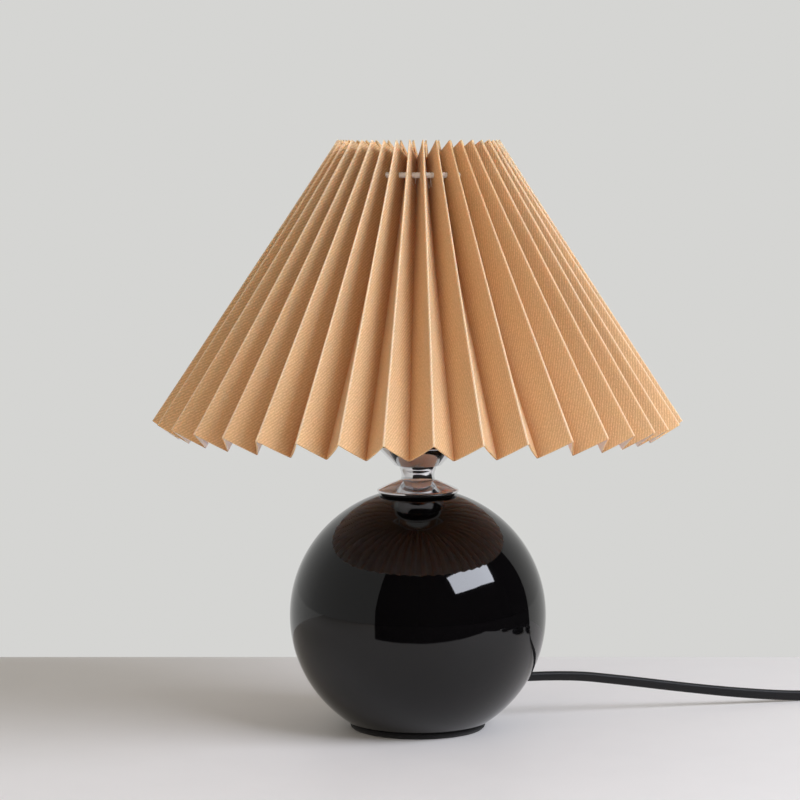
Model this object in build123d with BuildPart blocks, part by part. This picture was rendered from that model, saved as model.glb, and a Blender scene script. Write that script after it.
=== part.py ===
# Bedside lamp: black ceramic ball, bright-plated neck and cup, screw-in bulb,
# pleated linen shade on a wire carrier, and a mains lead with a hand switch and a plug.
# Millimetres. +Z up, the foot stands on z = 0, the lamp's axis is the Z axis, -Y is the front.
import os
from math import atan, cos, pi, radians, sin, sqrt, tan

from build123d import *

os.makedirs("parts", exist_ok=True)

# General fits
clearance = 0.3
slip = 0.15

# Foot and ball
foot_radius = 36.0
foot_thickness = 3.3
foot_chamfer = 1.8
ball_radius = 68.2
ball_half_height = 67.7
ball_drop = 57.1
ball_wall = 5.0
ball_top_flat_radius = 20.0
ball_top_thickness = 7.0
ball_base_opening = 25.0
base_plate_radius = 30.0
base_plate_thickness = 1.5

# Plated neck stack
gasket_radius = 19.6
gasket_thickness = 1.2
cap_radius = 21.7
cap_rim_height = 1.3
cap_height = 6.6
cap_bulge = 0.15
cap_crown_radius = 9.2
neck_waist_radius = 8.8
neck_top_radius = 9.7
neck_height = 7.5
neck_bead_height = 1.6
neck_waist_height = 2.6
cup_floor_radius = 12.2
cup_rim_radius = 22.0
cup_height = 10.6
cup_wall = 1.0
cup_lip_height = 0.6

# Threaded nipple with its nut and washers
nipple_radius = 5.0
nipple_bore_radius = 3.6
nipple_tail = 4.0
nipple_recess = 0.5
washer_radius = 12.0
washer_thickness = 2.0
soft_washer_thickness = 2.5
nut_across_flats = 17.0
nut_thickness = 5.0

# Lamp holder for a 27 mm Edison screw
holder_radius = 19.5
holder_floor = 7.6
holder_cone_gap = 0.5
wiring_room = 10.0
wiring_room_radius = 14.5
insert_radius = 16.4
insert_thickness = 11.0
base_rim_height = 9.0
sleeve_length = 30.0
sleeve_bore_radius = 15.6
shoulder_radius = 24.0
shoulder_height = 11.0
shoulder_thickness = 2.0
shell_bore_radius = 13.4
shell_wall = 0.5
shell_height = 23.0
shell_flange_bore = 6.5
contact_radius = 4.0
contact_step = 1.2
contact_height = 2.6
terminal_radius = 2.2
terminal_offset = 6.0
terminal_reach = 2.5
terminal_grip = 5.0
ring_nut_height = 7.5
ring_nut_radius = 23.8
ring_nut_chamfer = 0.6

# Bulb
bulb_tip_radius = 4.4
bulb_tip_height = 1.6
bulb_insulator_height = 4.2
bulb_insulator_top_radius = 11.6
bulb_cap_radius = 13.05
bulb_cap_height = 18.5
bulb_cap_wall = 0.4
bulb_housing_radius = 20.0
bulb_housing_height = 15.0
bulb_dome_radius = 22.5
bulb_dome_wall = 1.2

# Pleated shade
pleat_count = 38
pleat_phase = 2.6
shade_top_radius = 42.2
shade_bottom_radius = 140.0
shade_fold_height = 146.7
pleat_width = 19.3
cloth_thickness = 0.8
gather_cord_radius = 1.5
gather_ring_radius = 41.0
gather_drop = 17.9

# Wire carrier of the shade
fitter_ring_radius = 27.0
fitter_ring_thickness = 2.0
carrier_wire_radius = 1.5
carrier_ring_radius = 43.2
carrier_rise = 91.0
carrier_arm_knee = 36.0
carrier_arm_count = 3
carrier_arm_first = 90.0
weld_bite = 0.3

# Mains lead
lead_radius = 2.8
exit_azimuth = 18.0
exit_height = 23.2
bush_radius = 4.6
collar_radius = 6.5
collar_length = 6.0
collar_gap = 1.1
inner_bend_radius = 28.0
sheath_end_height = 84.0
core_radius = 1.1
core_spacing = 1.4
corner_share = 0.45
lead_run_route = [
    (51.36, 16.69, 23.2),
    (79.9, 25.96, 23.2),
    (112.2, 36.5, 18.0),
    (144.6, 47.0, 12.2),
    (178.8, 58.1, 6.7),
    (211.1, 68.6, 3.2),
    (231.0, 74.5, 2.9),
    (246.0, 78.4, 5.0),
    (260.0, 80.0, 8.0),
    (272.0, 80.0, 8.0),
]
lead_link_route = [
    (334.0, 80.0, 8.0),
    (348.0, 80.0, 8.0),
    (361.2, 74.5, 7.2),
    (371.3, 64.4, 5.9),
    (376.8, 51.2, 4.7),
    (377.0, 34.0, 4.1),
    (377.0, 17.6, 4.1),
]
lead_tail_route = [
    (373.7, 6.4, 10.3),
    (373.7, -5.0, 10.3),
    (375.0, -20.0, 10.1),
    (376.0, -35.0, 8.6),
    (376.0, -48.0, 7.1),
    (376.0, -58.0, 7.1),
]

# Put-away coil of the lead
coil_centre = (334.0, 12.0)
coil_radius = 43.0
coil_pitch = 6.6
coil_turns_in = 3
coil_turns_out = 2.5
coil_base = 4.1
coil_climb = 6.2
coil_lead_in = 5.6
coil_end_lead = 5.6
tie_width = 14.0
tie_thickness = 0.9
tie_corner = 2.8
tie_play = 0.3

# Hand switch on the lead
lead_grip = 6.0
switch_length = 54.0
switch_width = 24.0
switch_height = 15.6
switch_floor = 2.2
switch_top_wall = 4.6
switch_corner = 6.0
switch_edge = 1.4
switch_room_length = 30.0
switch_room_width = 17.0
switch_sleeve_length = 10.0
switch_sleeve_radius = 5.6
switch_sleeve_tip_radius = 4.2
spigot_length = 3.0
spigot_radius = 4.4
rocker_length = 20.4
rocker_width = 9.0
rocker_play = 0.9
rocker_tilt = 6.0
rocker_end_rise = 4.0
rocker_middle_rise = 2.6
rocker_depth = 3.6
rocker_foot = 2.5
rocker_pin_radius = 1.2
rocker_pin_reach = 1.6
rocker_pivot_drop = 2.0
screw_radius = 1.5
screw_length = 9.0
screw_head_radius = 2.6
screw_head_height = 1.4
screw_x = 21.0
screw_y = 8.4
contact_strip_length = 20.0
contact_strip_width = 6.0
contact_strip_thickness = 0.6

# Two-pin plug
relief_length = 24.0
relief_radius = 5.4
relief_tip_radius = 3.9
plug_length = 35.0
plug_width = 26.0
plug_back_width = 15.0
plug_shoulder = 14.0
plug_thickness = 13.7
plug_edge = 1.8
pin_radius = 2.0
pin_length = 19.0
pin_root = 6.0
pin_root_radius = 2.6
pin_spacing = 19.0
pin_tip_chamfer = 0.8


def save(builder, node):
    # Label a finished piece and write its file
    builder.part.label = node
    export_step(builder.part, f"parts/{node}.step")


def section(*points):
    # Closed straight-sided profile in the XZ plane, given as (radius, height) points
    with BuildSketch(Plane.XZ) as profile:
        with BuildLine():
            Polyline(*points, close=True)
        make_face()
    return profile.sketch


def ring_section(inner, outer, bottom, top):
    # Rectangular profile of a plain ring
    return section((inner, bottom), (outer, bottom), (outer, top), (inner, top))


def ellipse_height(radius, half_width, half_height):
    # Height of an ellipse above its centre at a radius
    return half_height * sqrt(1 - (radius / half_width) ** 2)


# Foot pad
with BuildPart() as foot_pad:
    revolve(ring_section(0, foot_radius, 0, foot_thickness), axis=Axis.Z)
    chamfer(foot_pad.edges().group_by(Axis.Z)[0], foot_chamfer)
save(foot_pad, "foot_pad")

# Steel plate that closes the ball from below
plate_top = foot_thickness + base_plate_thickness
with BuildPart() as base_plate:
    revolve(ring_section(0, base_plate_radius, foot_thickness, plate_top), axis=Axis.Z)
save(base_plate, "base_plate")

# Ceramic ball with a flat foot, a flat top, a nipple hole and a hole for the lead
ball_centre = foot_thickness + ball_drop
ball_top = ball_centre + ellipse_height(ball_top_flat_radius, ball_radius, ball_half_height)
ball_ceiling = ball_top - ball_top_thickness
hollow_radius = ball_radius - ball_wall
hollow_half_height = ball_half_height - ball_wall
exit_direction = (cos(radians(exit_azimuth)), sin(radians(exit_azimuth)), 0)
exit_plane = Plane(origin=(0, 0, exit_height), x_dir=(0, 0, 1), z_dir=exit_direction)
exit_hole_radius = bush_radius + slip
nipple_hole_radius = nipple_radius + clearance
right_half = (Align.MIN, Align.MIN)
hanging = (Align.CENTER, Align.MAX)
with BuildPart() as ball_body:
    with BuildSketch(Plane.XZ) as ball_profile:
        with Locations((0, ball_centre)):
            Ellipse(ball_radius, ball_half_height)
        with BuildSketch(mode=Mode.PRIVATE) as hollow:
            with Locations((0, ball_centre)):
                Ellipse(hollow_radius, hollow_half_height)
            with Locations((0, ball_ceiling)):
                Rectangle(2 * ball_radius, 2 * ball_half_height, align=hanging, mode=Mode.INTERSECT)
        add(hollow.sketch, mode=Mode.SUBTRACT)
        with Locations((nipple_hole_radius, foot_thickness)):
            Rectangle(ball_radius, ball_top - foot_thickness, align=right_half, mode=Mode.INTERSECT)
        with Locations((0, 0)):
            Rectangle(ball_base_opening, ball_centre, align=right_half, mode=Mode.SUBTRACT)
            Rectangle(base_plate_radius + clearance, plate_top, align=right_half, mode=Mode.SUBTRACT)
    revolve(axis=Axis.Z)
    with BuildSketch(exit_plane):
        Circle(exit_hole_radius)
    extrude(amount=ball_radius, mode=Mode.SUBTRACT)
save(ball_body, "ball_body")

# Bush in the ball's wall, trimmed flush inside and outside
with BuildPart() as lead_bush:
    with BuildSketch(exit_plane):
        Circle(bush_radius)
        Circle(lead_radius + slip, mode=Mode.SUBTRACT)
    extrude(amount=ball_radius)
    with BuildSketch(Plane.XZ) as wall_profile:
        with Locations((0, ball_centre)):
            Ellipse(ball_radius, ball_half_height)
            Ellipse(hollow_radius, hollow_half_height, mode=Mode.SUBTRACT)
        Rectangle(ball_radius, 4 * ball_radius, align=(Align.MIN, Align.CENTER), mode=Mode.INTERSECT)
    revolve(axis=Axis.Z, mode=Mode.INTERSECT)
save(lead_bush, "lead_bush")

# Neck stack from the ball's top flat upwards
gasket_top = ball_top + gasket_thickness
cap_rim_top = gasket_top + cap_rim_height
cap_top = gasket_top + cap_height
neck_top = cap_top + neck_height
cup_top = neck_top + cup_height
with BuildPart() as cap_gasket:
    revolve(ring_section(nipple_hole_radius, gasket_radius, ball_top, gasket_top), axis=Axis.Z)
save(cap_gasket, "cap_gasket")

with BuildPart() as vase_cap:
    with BuildSketch(Plane.XZ):
        with BuildLine():
            Polyline(
                (cap_crown_radius, cap_top),
                (nipple_hole_radius, cap_top),
                (nipple_hole_radius, gasket_top),
                (cap_radius, gasket_top),
                (cap_radius, cap_rim_top),
            )
            ThreePointArc(
                (cap_radius, cap_rim_top),
                ((cap_crown_radius + cap_radius) / 2, (cap_top + cap_rim_top) / 2 + cap_bulge),
                (cap_crown_radius, cap_top),
            )
        make_face()
    revolve(axis=Axis.Z)
save(vase_cap, "vase_cap")

with BuildPart() as neck_spacer:
    with BuildSketch(Plane.XZ):
        with BuildLine():
            bead_bottom = neck_top - neck_bead_height
            Polyline(
                (neck_top_radius, bead_bottom),
                (neck_top_radius, neck_top),
                (nipple_hole_radius, neck_top),
                (nipple_hole_radius, cap_top),
                (cap_crown_radius, cap_top),
            )
            ThreePointArc(
                (cap_crown_radius, cap_top),
                (neck_waist_radius, cap_top + neck_waist_height),
                (neck_top_radius, bead_bottom),
            )
        make_face()
    revolve(axis=Axis.Z)
save(neck_spacer, "neck_spacer")

cup_floor_top = neck_top + cup_wall
cup_inner_rim = cup_rim_radius - cup_wall
cup_inner_floor = cup_floor_radius - cup_wall * tan(pi / 8)
lip_bottom = cup_top - cup_lip_height
with BuildPart() as holder_cup:
    cup_profile = section(
        (nipple_hole_radius, neck_top),
        (cup_floor_radius, neck_top),
        (cup_rim_radius, lip_bottom),
        (cup_rim_radius, cup_top),
        (cup_inner_rim, cup_top),
        (cup_inner_rim, lip_bottom),
        (cup_inner_floor, cup_floor_top),
        (nipple_hole_radius, cup_floor_top),
    )
    revolve(cup_profile, axis=Axis.Z)
save(holder_cup, "holder_cup")

# Lamp holder: moulded base in the cup, porcelain insert, contacts, sleeve
holder_floor_top = cup_floor_top + holder_floor
ledge = holder_floor_top + wiring_room
base_top = ledge + base_rim_height
insert_top = ledge + insert_thickness
nipple_top = holder_floor_top - nipple_recess
nipple_fit = nipple_radius + slip
insert_fit = insert_radius + clearance
cup_slope = (lip_bottom - cup_floor_top) / (cup_inner_rim - cup_inner_floor)
base_foot_radius = cup_inner_floor - holder_cone_gap
base_cone_top = cup_floor_top + (holder_radius - base_foot_radius) * cup_slope
with BuildPart() as holder_base:
    base_profile = section(
        (nipple_fit, cup_floor_top),
        (base_foot_radius, cup_floor_top),
        (holder_radius, base_cone_top),
        (holder_radius, base_top),
        (insert_fit, base_top),
        (insert_fit, ledge),
        (wiring_room_radius, ledge),
        (wiring_room_radius, holder_floor_top),
        (nipple_fit, holder_floor_top),
    )
    revolve(base_profile, axis=Axis.Z)
save(holder_base, "holder_base")

terminal_bottom = ledge - terminal_reach
terminal_top = ledge + terminal_grip
terminal_places = [(terminal_offset, 0), (-terminal_offset, 0)]
with BuildPart() as holder_insert:
    revolve(ring_section(0, insert_radius, ledge, insert_top), axis=Axis.Z)
    with BuildSketch(Plane.XY.offset(ledge)):
        with Locations(*terminal_places):
            Circle(terminal_radius + slip)
    extrude(amount=terminal_grip, mode=Mode.SUBTRACT)
save(holder_insert, "holder_insert")

for number, place in enumerate(terminal_places, start=1):
    with BuildPart() as terminal:
        with BuildSketch(Plane.XY.offset(terminal_bottom)):
            with Locations(place):
                Circle(terminal_radius)
        extrude(amount=terminal_top - terminal_bottom)
    save(terminal, f"terminal_{number}")

shell_outer = shell_bore_radius + shell_wall
with BuildPart() as screw_shell:
    shell_profile = section(
        (shell_flange_bore, insert_top),
        (shell_outer, insert_top),
        (shell_outer, insert_top + shell_height),
        (shell_bore_radius, insert_top + shell_height),
        (shell_bore_radius, insert_top + shell_wall),
        (shell_flange_bore, insert_top + shell_wall),
    )
    revolve(shell_profile, axis=Axis.Z)
save(screw_shell, "screw_shell")

contact_top = insert_top + contact_height
with BuildPart() as centre_contact:
    contact_profile = section(
        (0, insert_top),
        (contact_radius, insert_top),
        (contact_radius, insert_top + contact_step),
        (contact_radius / 2, contact_top),
        (0, contact_top),
    )
    revolve(contact_profile, axis=Axis.Z)
save(centre_contact, "centre_contact")

shoulder_bottom = base_top + shoulder_height
shoulder_top = shoulder_bottom + shoulder_thickness
sleeve_top = base_top + sleeve_length
with BuildPart() as holder_sleeve:
    sleeve_profile = section(
        (insert_fit, base_top),
        (holder_radius, base_top),
        (holder_radius, shoulder_bottom),
        (shoulder_radius, shoulder_bottom),
        (shoulder_radius, shoulder_top),
        (holder_radius, shoulder_top),
        (holder_radius, sleeve_top),
        (sleeve_bore_radius, sleeve_top),
        (sleeve_bore_radius, insert_top + clearance),
        (insert_fit, insert_top + clearance),
    )
    revolve(sleeve_profile, axis=Axis.Z)
save(holder_sleeve, "holder_sleeve")

# Threaded nipple that clamps cap, neck and cup to the ball, with its washers and nut
soft_washer_bottom = ball_ceiling - soft_washer_thickness
washer_bottom = soft_washer_bottom - washer_thickness
nut_bottom = washer_bottom - nut_thickness
nipple_bottom = nut_bottom - nipple_tail
with BuildPart() as threaded_nipple:
    revolve(ring_section(nipple_bore_radius, nipple_radius, nipple_bottom, nipple_top), axis=Axis.Z)
save(threaded_nipple, "threaded_nipple")

with BuildPart() as soft_washer:
    revolve(ring_section(nipple_fit, washer_radius, soft_washer_bottom, ball_ceiling), axis=Axis.Z)
save(soft_washer, "soft_washer")

with BuildPart() as steel_washer:
    revolve(ring_section(nipple_fit, washer_radius, washer_bottom, soft_washer_bottom), axis=Axis.Z)
save(steel_washer, "steel_washer")

with BuildPart() as hex_nut:
    with BuildSketch(Plane.XY.offset(nut_bottom)):
        RegularPolygon(nut_across_flats / 2, 6, major_radius=False)
        Circle(nipple_fit, mode=Mode.SUBTRACT)
    extrude(amount=nut_thickness)
save(hex_nut, "hex_nut")

# Bulb, seated on the centre contact
tip_bottom = contact_top + slip
tip_top = tip_bottom + bulb_tip_height
insulator_top = tip_top + bulb_insulator_height
bulb_cap_top = insulator_top + bulb_cap_height
housing_top = bulb_cap_top + bulb_housing_height
cap_inner = bulb_cap_radius - bulb_cap_wall
tip_edge = bulb_tip_height / 2
with BuildPart() as bulb_tip:
    revolve(ring_section(0, bulb_tip_radius, tip_bottom, tip_top), axis=Axis.Z)
    chamfer(bulb_tip.edges().group_by(Axis.Z)[0], tip_edge)
save(bulb_tip, "bulb_tip")

with BuildPart() as bulb_insulator:
    insulator_profile = section(
        (0, tip_top),
        (bulb_tip_radius, tip_top),
        (bulb_insulator_top_radius, insulator_top),
        (0, insulator_top),
    )
    revolve(insulator_profile, axis=Axis.Z)
save(bulb_insulator, "bulb_insulator")

flange_bore = bulb_insulator_top_radius / 2
with BuildPart() as bulb_cap:
    bulb_cap_profile = section(
        (flange_bore, insulator_top),
        (bulb_cap_radius, insulator_top),
        (bulb_cap_radius, bulb_cap_top),
        (cap_inner, bulb_cap_top),
        (cap_inner, insulator_top + bulb_cap_wall),
        (flange_bore, insulator_top + bulb_cap_wall),
    )
    revolve(bulb_cap_profile, axis=Axis.Z)
save(bulb_cap, "bulb_cap")

plug_in_radius = cap_inner - slip
plug_in_bottom = bulb_cap_top - bulb_cap_height / 3
housing_wall = bulb_dome_wall
with BuildPart() as bulb_housing:
    housing_profile = section(
        (plug_in_radius, plug_in_bottom),
        (plug_in_radius, bulb_cap_top),
        (bulb_cap_radius, bulb_cap_top),
        (bulb_housing_radius, housing_top),
        (bulb_housing_radius - housing_wall, housing_top),
        (plug_in_radius - housing_wall, bulb_cap_top),
        (plug_in_radius - housing_wall, plug_in_bottom),
    )
    revolve(housing_profile, axis=Axis.Z)
save(bulb_housing, "bulb_housing")

dome_centre = housing_top + sqrt(bulb_dome_radius**2 - bulb_housing_radius**2)
with BuildPart() as bulb_dome:
    with BuildSketch(Plane.XZ):
        with Locations((0, dome_centre)):
            Circle(bulb_dome_radius)
            Circle(bulb_dome_radius - bulb_dome_wall, mode=Mode.SUBTRACT)
        with Locations((0, housing_top)):
            Rectangle(bulb_dome_radius, 3 * bulb_dome_radius, align=right_half, mode=Mode.INTERSECT)
    revolve(axis=Axis.Z)
save(bulb_dome, "bulb_dome")

# Shade carrier: a fitter ring on the holder's shoulder, wire arms and a wire ring
fitter_bottom = shoulder_top + slip
fitter_top = fitter_bottom + fitter_ring_thickness
fitter_middle = (fitter_bottom + fitter_top) / 2
carrier_ring_height = fitter_middle + carrier_rise
fitter_bore = holder_radius + clearance
with BuildPart() as fitter_ring:
    revolve(ring_section(fitter_bore, fitter_ring_radius, fitter_bottom, fitter_top), axis=Axis.Z)
save(fitter_ring, "fitter_ring")

with BuildPart() as carrier_ring:
    with BuildSketch(Plane.XZ):
        with Locations((carrier_ring_radius, carrier_ring_height)):
            Circle(carrier_wire_radius)
    revolve(axis=Axis.Z)
save(carrier_ring, "carrier_ring")

arm_root = fitter_ring_radius - weld_bite
arm_tip = carrier_ring_height - carrier_wire_radius + weld_bite
knee_turn = 3 * carrier_wire_radius
for number in range(1, carrier_arm_count + 1):
    bearing = carrier_arm_first + (number - 1) * 360 / carrier_arm_count
    arm_plane = Plane.XZ.rotated((0, 0, bearing))
    with BuildPart() as carrier_arm:
        with BuildLine(arm_plane) as arm_path:
            FilletPolyline(
                (arm_root, fitter_middle),
                (carrier_arm_knee, fitter_middle),
                (carrier_ring_radius, arm_tip),
                radius=knee_turn,
            )
        with BuildSketch(Plane(arm_path.line @ 0, z_dir=arm_path.line % 0)):
            Circle(carrier_wire_radius)
        sweep()
    save(carrier_arm, f"carrier_arm_{number}")

nut_base = fitter_top + slip
nut_top = nut_base + ring_nut_height
with BuildPart() as ring_nut:
    revolve(ring_section(holder_radius + slip, ring_nut_radius, nut_base, nut_top), axis=Axis.Z)
    chamfer(ring_nut.edges().group_by(Axis.Z)[-1], ring_nut_chamfer)
save(ring_nut, "ring_nut")

# Fold lines of the shade. Each pleat face is a strip of constant width, so the inner fold
# lies square to the slant of the outer fold, deeper at the top where the pleats close up.
pleat_half = pi / pleat_count
outer_slope = (shade_bottom_radius - shade_top_radius) / shade_fold_height
slant = atan(outer_slope)
cloth_half = cloth_thickness / 2


def fold_depth(outer_fold):
    # Depth of a pleat, square to the slant, where its outer fold has this radius
    closing = outer_fold * (1 - cos(pleat_half))
    lean = closing * cos(slant)
    return lean + sqrt(lean**2 + pleat_width**2 - 2 * outer_fold * closing)


top_depth = fold_depth(shade_top_radius)
bottom_depth = fold_depth(shade_bottom_radius)
top_inner_radius = shade_top_radius - top_depth * cos(slant)
bottom_inner_radius = shade_bottom_radius - bottom_depth * cos(slant)
top_drop = top_depth * sin(slant)
bottom_drop = bottom_depth * sin(slant)
inner_slope = (bottom_inner_radius - top_inner_radius) / (shade_fold_height + bottom_drop - top_drop)

# The inner folds rest on the carrier's wire ring, which sets the height of the shade
seat = (carrier_wire_radius + clearance + cloth_half) / cos(atan(inner_slope))
shade_inner_top = carrier_ring_height + (carrier_ring_radius + seat - top_inner_radius) / inner_slope
shade_top = shade_inner_top + top_drop
shade_bottom = shade_top - shade_fold_height
shade_inner_bottom = shade_bottom - bottom_drop
gather_height = shade_top - gather_drop
print(f"shade top {shade_top:.2f}, bottom {shade_inner_bottom:.2f}")


def outer_fold_radius(height):
    return shade_top_radius + (shade_top - height) * outer_slope


def inner_fold_radius(height):
    return top_inner_radius + (shade_inner_top - height) * inner_slope


def pleat_star(height, side):
    # Zigzag outline of one face of the cloth at a height, side +1 outside and -1 inside
    outer_fold = outer_fold_radius(height)
    inner_fold = inner_fold_radius(height)
    outer_half_angle = atan(inner_fold * sin(pleat_half) / (outer_fold - inner_fold * cos(pleat_half)))
    outer_point = outer_fold + side * cloth_half / sin(outer_half_angle)
    inner_point = inner_fold + side * cloth_half / sin(outer_half_angle + pleat_half)
    first = radians(pleat_phase - 90)
    corners = []
    for pleat in range(pleat_count):
        bearing = first + 2 * pleat * pleat_half
        corners.append((outer_point * cos(bearing), outer_point * sin(bearing)))
        corners.append((inner_point * cos(bearing + pleat_half), inner_point * sin(bearing + pleat_half)))
    with BuildSketch(Plane.XY.offset(height)) as star:
        with BuildLine():
            Polyline(*corners, close=True)
        make_face()
    return star.sketch


# Pleated shade, with a hole for the gathering cord through every pleat
trim = cloth_half / cos(slant)
star_bottom = shade_inner_bottom - pleat_width / 2
star_top = shade_top + pleat_width / 2
with BuildPart() as pleated_shade:
    loft([pleat_star(star_bottom, 1), pleat_star(star_top, 1)], ruled=True)
    loft([pleat_star(star_bottom, -1), pleat_star(star_top, -1)], ruled=True, mode=Mode.SUBTRACT)
    cloth_band = section(
        (shade_top_radius + trim * cos(slant), shade_top + trim * sin(slant)),
        (shade_bottom_radius + trim * cos(slant), shade_bottom + trim * sin(slant)),
        (bottom_inner_radius - trim * cos(slant), shade_inner_bottom - trim * sin(slant)),
        (top_inner_radius - trim * cos(slant), shade_inner_top - trim * sin(slant)),
    )
    revolve(cloth_band, axis=Axis.Z, mode=Mode.INTERSECT)
    with BuildSketch(Plane.XZ):
        with Locations((gather_ring_radius, gather_height)):
            Circle(gather_cord_radius + clearance)
    revolve(axis=Axis.Z, mode=Mode.SUBTRACT)
save(pleated_shade, "pleated_shade")

with BuildPart() as gather_cord:
    with BuildSketch(Plane.XZ):
        with Locations((gather_ring_radius, gather_height)):
            Circle(gather_cord_radius)
    revolve(axis=Axis.Z)
save(gather_cord, "gather_cord")


# Mains lead
def corner_radii(route):
    # Largest even arcs for a route: a share of the shorter run at each corner
    radii = []
    for before, corner, after in zip(route, route[1:], route[2:]):
        arriving = Vector(*corner) - Vector(*before)
        leaving = Vector(*after) - Vector(*corner)
        half_turn = radians(arriving.get_angle(leaving)) / 2
        radii.append(corner_share * min(arriving.length, leaving.length) / tan(half_turn))
    return radii


def tube(route, radius, node):
    # Round tube along straight runs and tangent arcs
    radii = corner_radii(route)
    with BuildPart() as cable:
        with BuildLine() as path:
            FilletPolyline(*route, radius=radii)
        with BuildSketch(Plane(path.line @ 0, z_dir=path.line % 0)):
            Circle(radius)
        sweep()
    length = path.wire().length
    share = cable.part.volume / (pi * radius**2 * length)
    print(f"{node}: length {length:.0f}, volume share {share:.4f}, radii", [round(r) for r in radii])
    save(cable, node)


tube(lead_run_route, lead_radius, "lead_run")
tube(lead_link_route, lead_radius, "lead_link")
tube(lead_tail_route, lead_radius, "lead_tail")

# The lead inside the ball turns up towards the nipple, where its two cores go on alone
with BuildPart() as inner_lead:
    with BuildLine() as inner_path:
        FilletPolyline(
            lead_run_route[0],
            (0, 0, exit_height),
            (0, 0, sheath_end_height),
            radius=inner_bend_radius,
        )
    with BuildSketch(Plane(inner_path.line @ 0, z_dir=inner_path.line % 0)):
        Circle(lead_radius)
    sweep()
save(inner_lead, "inner_lead")

# Collar on the lead close behind the ball's wall, so that a pull on the lead stops at the wall
collar_drop = ball_centre - exit_height + collar_radius
collar_wall = ellipse_height(collar_drop, hollow_half_height, hollow_radius)
collar_station = collar_wall - collar_gap - collar_length
with BuildPart() as lead_collar:
    with BuildSketch(exit_plane.offset(collar_station)):
        Circle(collar_radius)
        Circle(lead_radius + slip, mode=Mode.SUBTRACT)
    extrude(amount=collar_length)
save(lead_collar, "lead_collar")

core_turn = nipple_top + nipple_recess + core_radius
core_level = terminal_bottom - 2 * core_radius
for number, place in enumerate(terminal_places, start=1):
    toward = 1 if place[0] > 0 else -1
    core_route = [
        (toward * core_spacing, 0, sheath_end_height),
        (toward * core_spacing, 0, core_turn),
        (place[0], 0, core_level),
        (place[0], 0, terminal_bottom),
    ]
    tube(core_route, core_radius, f"core_{number}")

# Put-away coil: the lead spirals in on the lower layer, climbs in half a turn and spirals out
coil_rate = coil_pitch / (2 * pi)
coil_ease = pi / 4
coil_in = coil_turns_in * 2 * pi
coil_half = pi
coil_out = coil_turns_out * 2 * pi
coil_end = coil_in + coil_half + coil_out
coil_inner_radius = coil_radius - coil_rate * (coil_in - coil_ease / 2)


def coil_point(angle):
    # Point of the coil's centre line, wound clockwise from its right side
    climbed = angle - coil_in
    outward = climbed - coil_half
    last = outward - (coil_out - coil_ease)
    height = coil_base
    if angle < coil_ease:
        radius = coil_radius - coil_rate * angle**2 / (2 * coil_ease)
    elif climbed < 0:
        radius = coil_radius - coil_rate * (angle - coil_ease / 2)
    elif outward < 0:
        radius = coil_inner_radius - coil_rate * climbed + coil_rate * climbed**2 / coil_half
        share = climbed / coil_half
        height = coil_base + coil_climb * share**2 * (3 - 2 * share)
    else:
        radius = coil_inner_radius + coil_rate * outward
        height = coil_base + coil_climb
        if last > 0:
            radius -= coil_rate * last**2 / (2 * coil_ease)
    return Vector(coil_centre[0] + radius * cos(angle), coil_centre[1] - radius * sin(angle), height)


def coil_heading(angle):
    step = 0.0005
    return (coil_point(angle + step) - coil_point(angle - step)).normalized()


coil_quarters = round(coil_end / (pi / 2))
with BuildPart() as lead_coil:
    with BuildLine() as coil_path:
        coil_start = coil_point(0)
        Line(coil_start + Vector(0, coil_lead_in, 0), coil_start)
        for quarter in range(coil_quarters):
            start, end = coil_point(quarter * pi / 2), coil_point((quarter + 1) * pi / 2)
            heading, leaving = coil_heading(quarter * pi / 2), coil_heading((quarter + 1) * pi / 2)
            chord = end - start
            squint = 2 * (heading.dot(leaving) - 1)
            reach = chord.dot(heading + leaving)
            arm = (reach - sqrt(reach**2 - squint * chord.dot(chord))) / squint
            first_knot, second_knot = start + heading * arm, end - leaving * arm
            joint = (first_knot + second_knot) / 2
            TangentArc(start, joint, tangent=heading)
            TangentArc(joint, end, tangent=(second_knot - first_knot).normalized())
        coil_finish = coil_point(coil_end)
        Line(coil_finish, coil_finish - Vector(0, coil_end_lead, 0))
    with BuildSketch(Plane(coil_path.line @ 0, z_dir=coil_path.line % 0)):
        Circle(lead_radius)
    sweep()
save(lead_coil, "lead_coil")

# Least gap of the coil to itself, on points of its centre line
coil_wire = coil_path.wire()
coil_length = coil_wire.length
gap_count = round(coil_length / lead_radius)
gap_points = [coil_wire.position_at(i / gap_count) for i in range(gap_count + 1)]
gap_skip = round(pi * coil_inner_radius / lead_radius)
least = min(
    (one - other).length
    for i, one in enumerate(gap_points)
    for other in gap_points[i + gap_skip :]
)
coil_share = lead_coil.part.volume / (pi * lead_radius**2 * coil_length)
coil_gap = least - 2 * lead_radius
print(f"lead_coil: length {coil_length:.0f}, volume share {coil_share:.4f}, least gap {coil_gap:.2f}")

# Strap that holds the coil together on its left side
bundle_outer = (coil_point(pi) - Vector(*coil_centre, coil_base)).length + lead_radius + tie_play
bundle_least = coil_inner_radius - coil_rate * coil_half / 4
bundle_inner = sqrt(bundle_least**2 - (tie_width / 2) ** 2) - lead_radius - tie_play
bundle_height = coil_climb + 2 * (lead_radius + tie_play)
bundle_middle = coil_centre[0] - (bundle_outer + bundle_inner) / 2
tie_plane = Plane(
    origin=(bundle_middle, coil_centre[1], coil_base + coil_climb / 2),
    x_dir=(1, 0, 0),
    z_dir=(0, -1, 0),
)
with BuildPart() as coil_tie:
    with BuildSketch(tie_plane):
        RectangleRounded(
            bundle_outer - bundle_inner + 2 * tie_thickness,
            bundle_height + 2 * tie_thickness,
            tie_corner + tie_thickness,
        )
        RectangleRounded(bundle_outer - bundle_inner, bundle_height, tie_corner, mode=Mode.SUBTRACT)
    extrude(amount=tie_width / 2, both=True)
save(coil_tie, "coil_tie")


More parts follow.
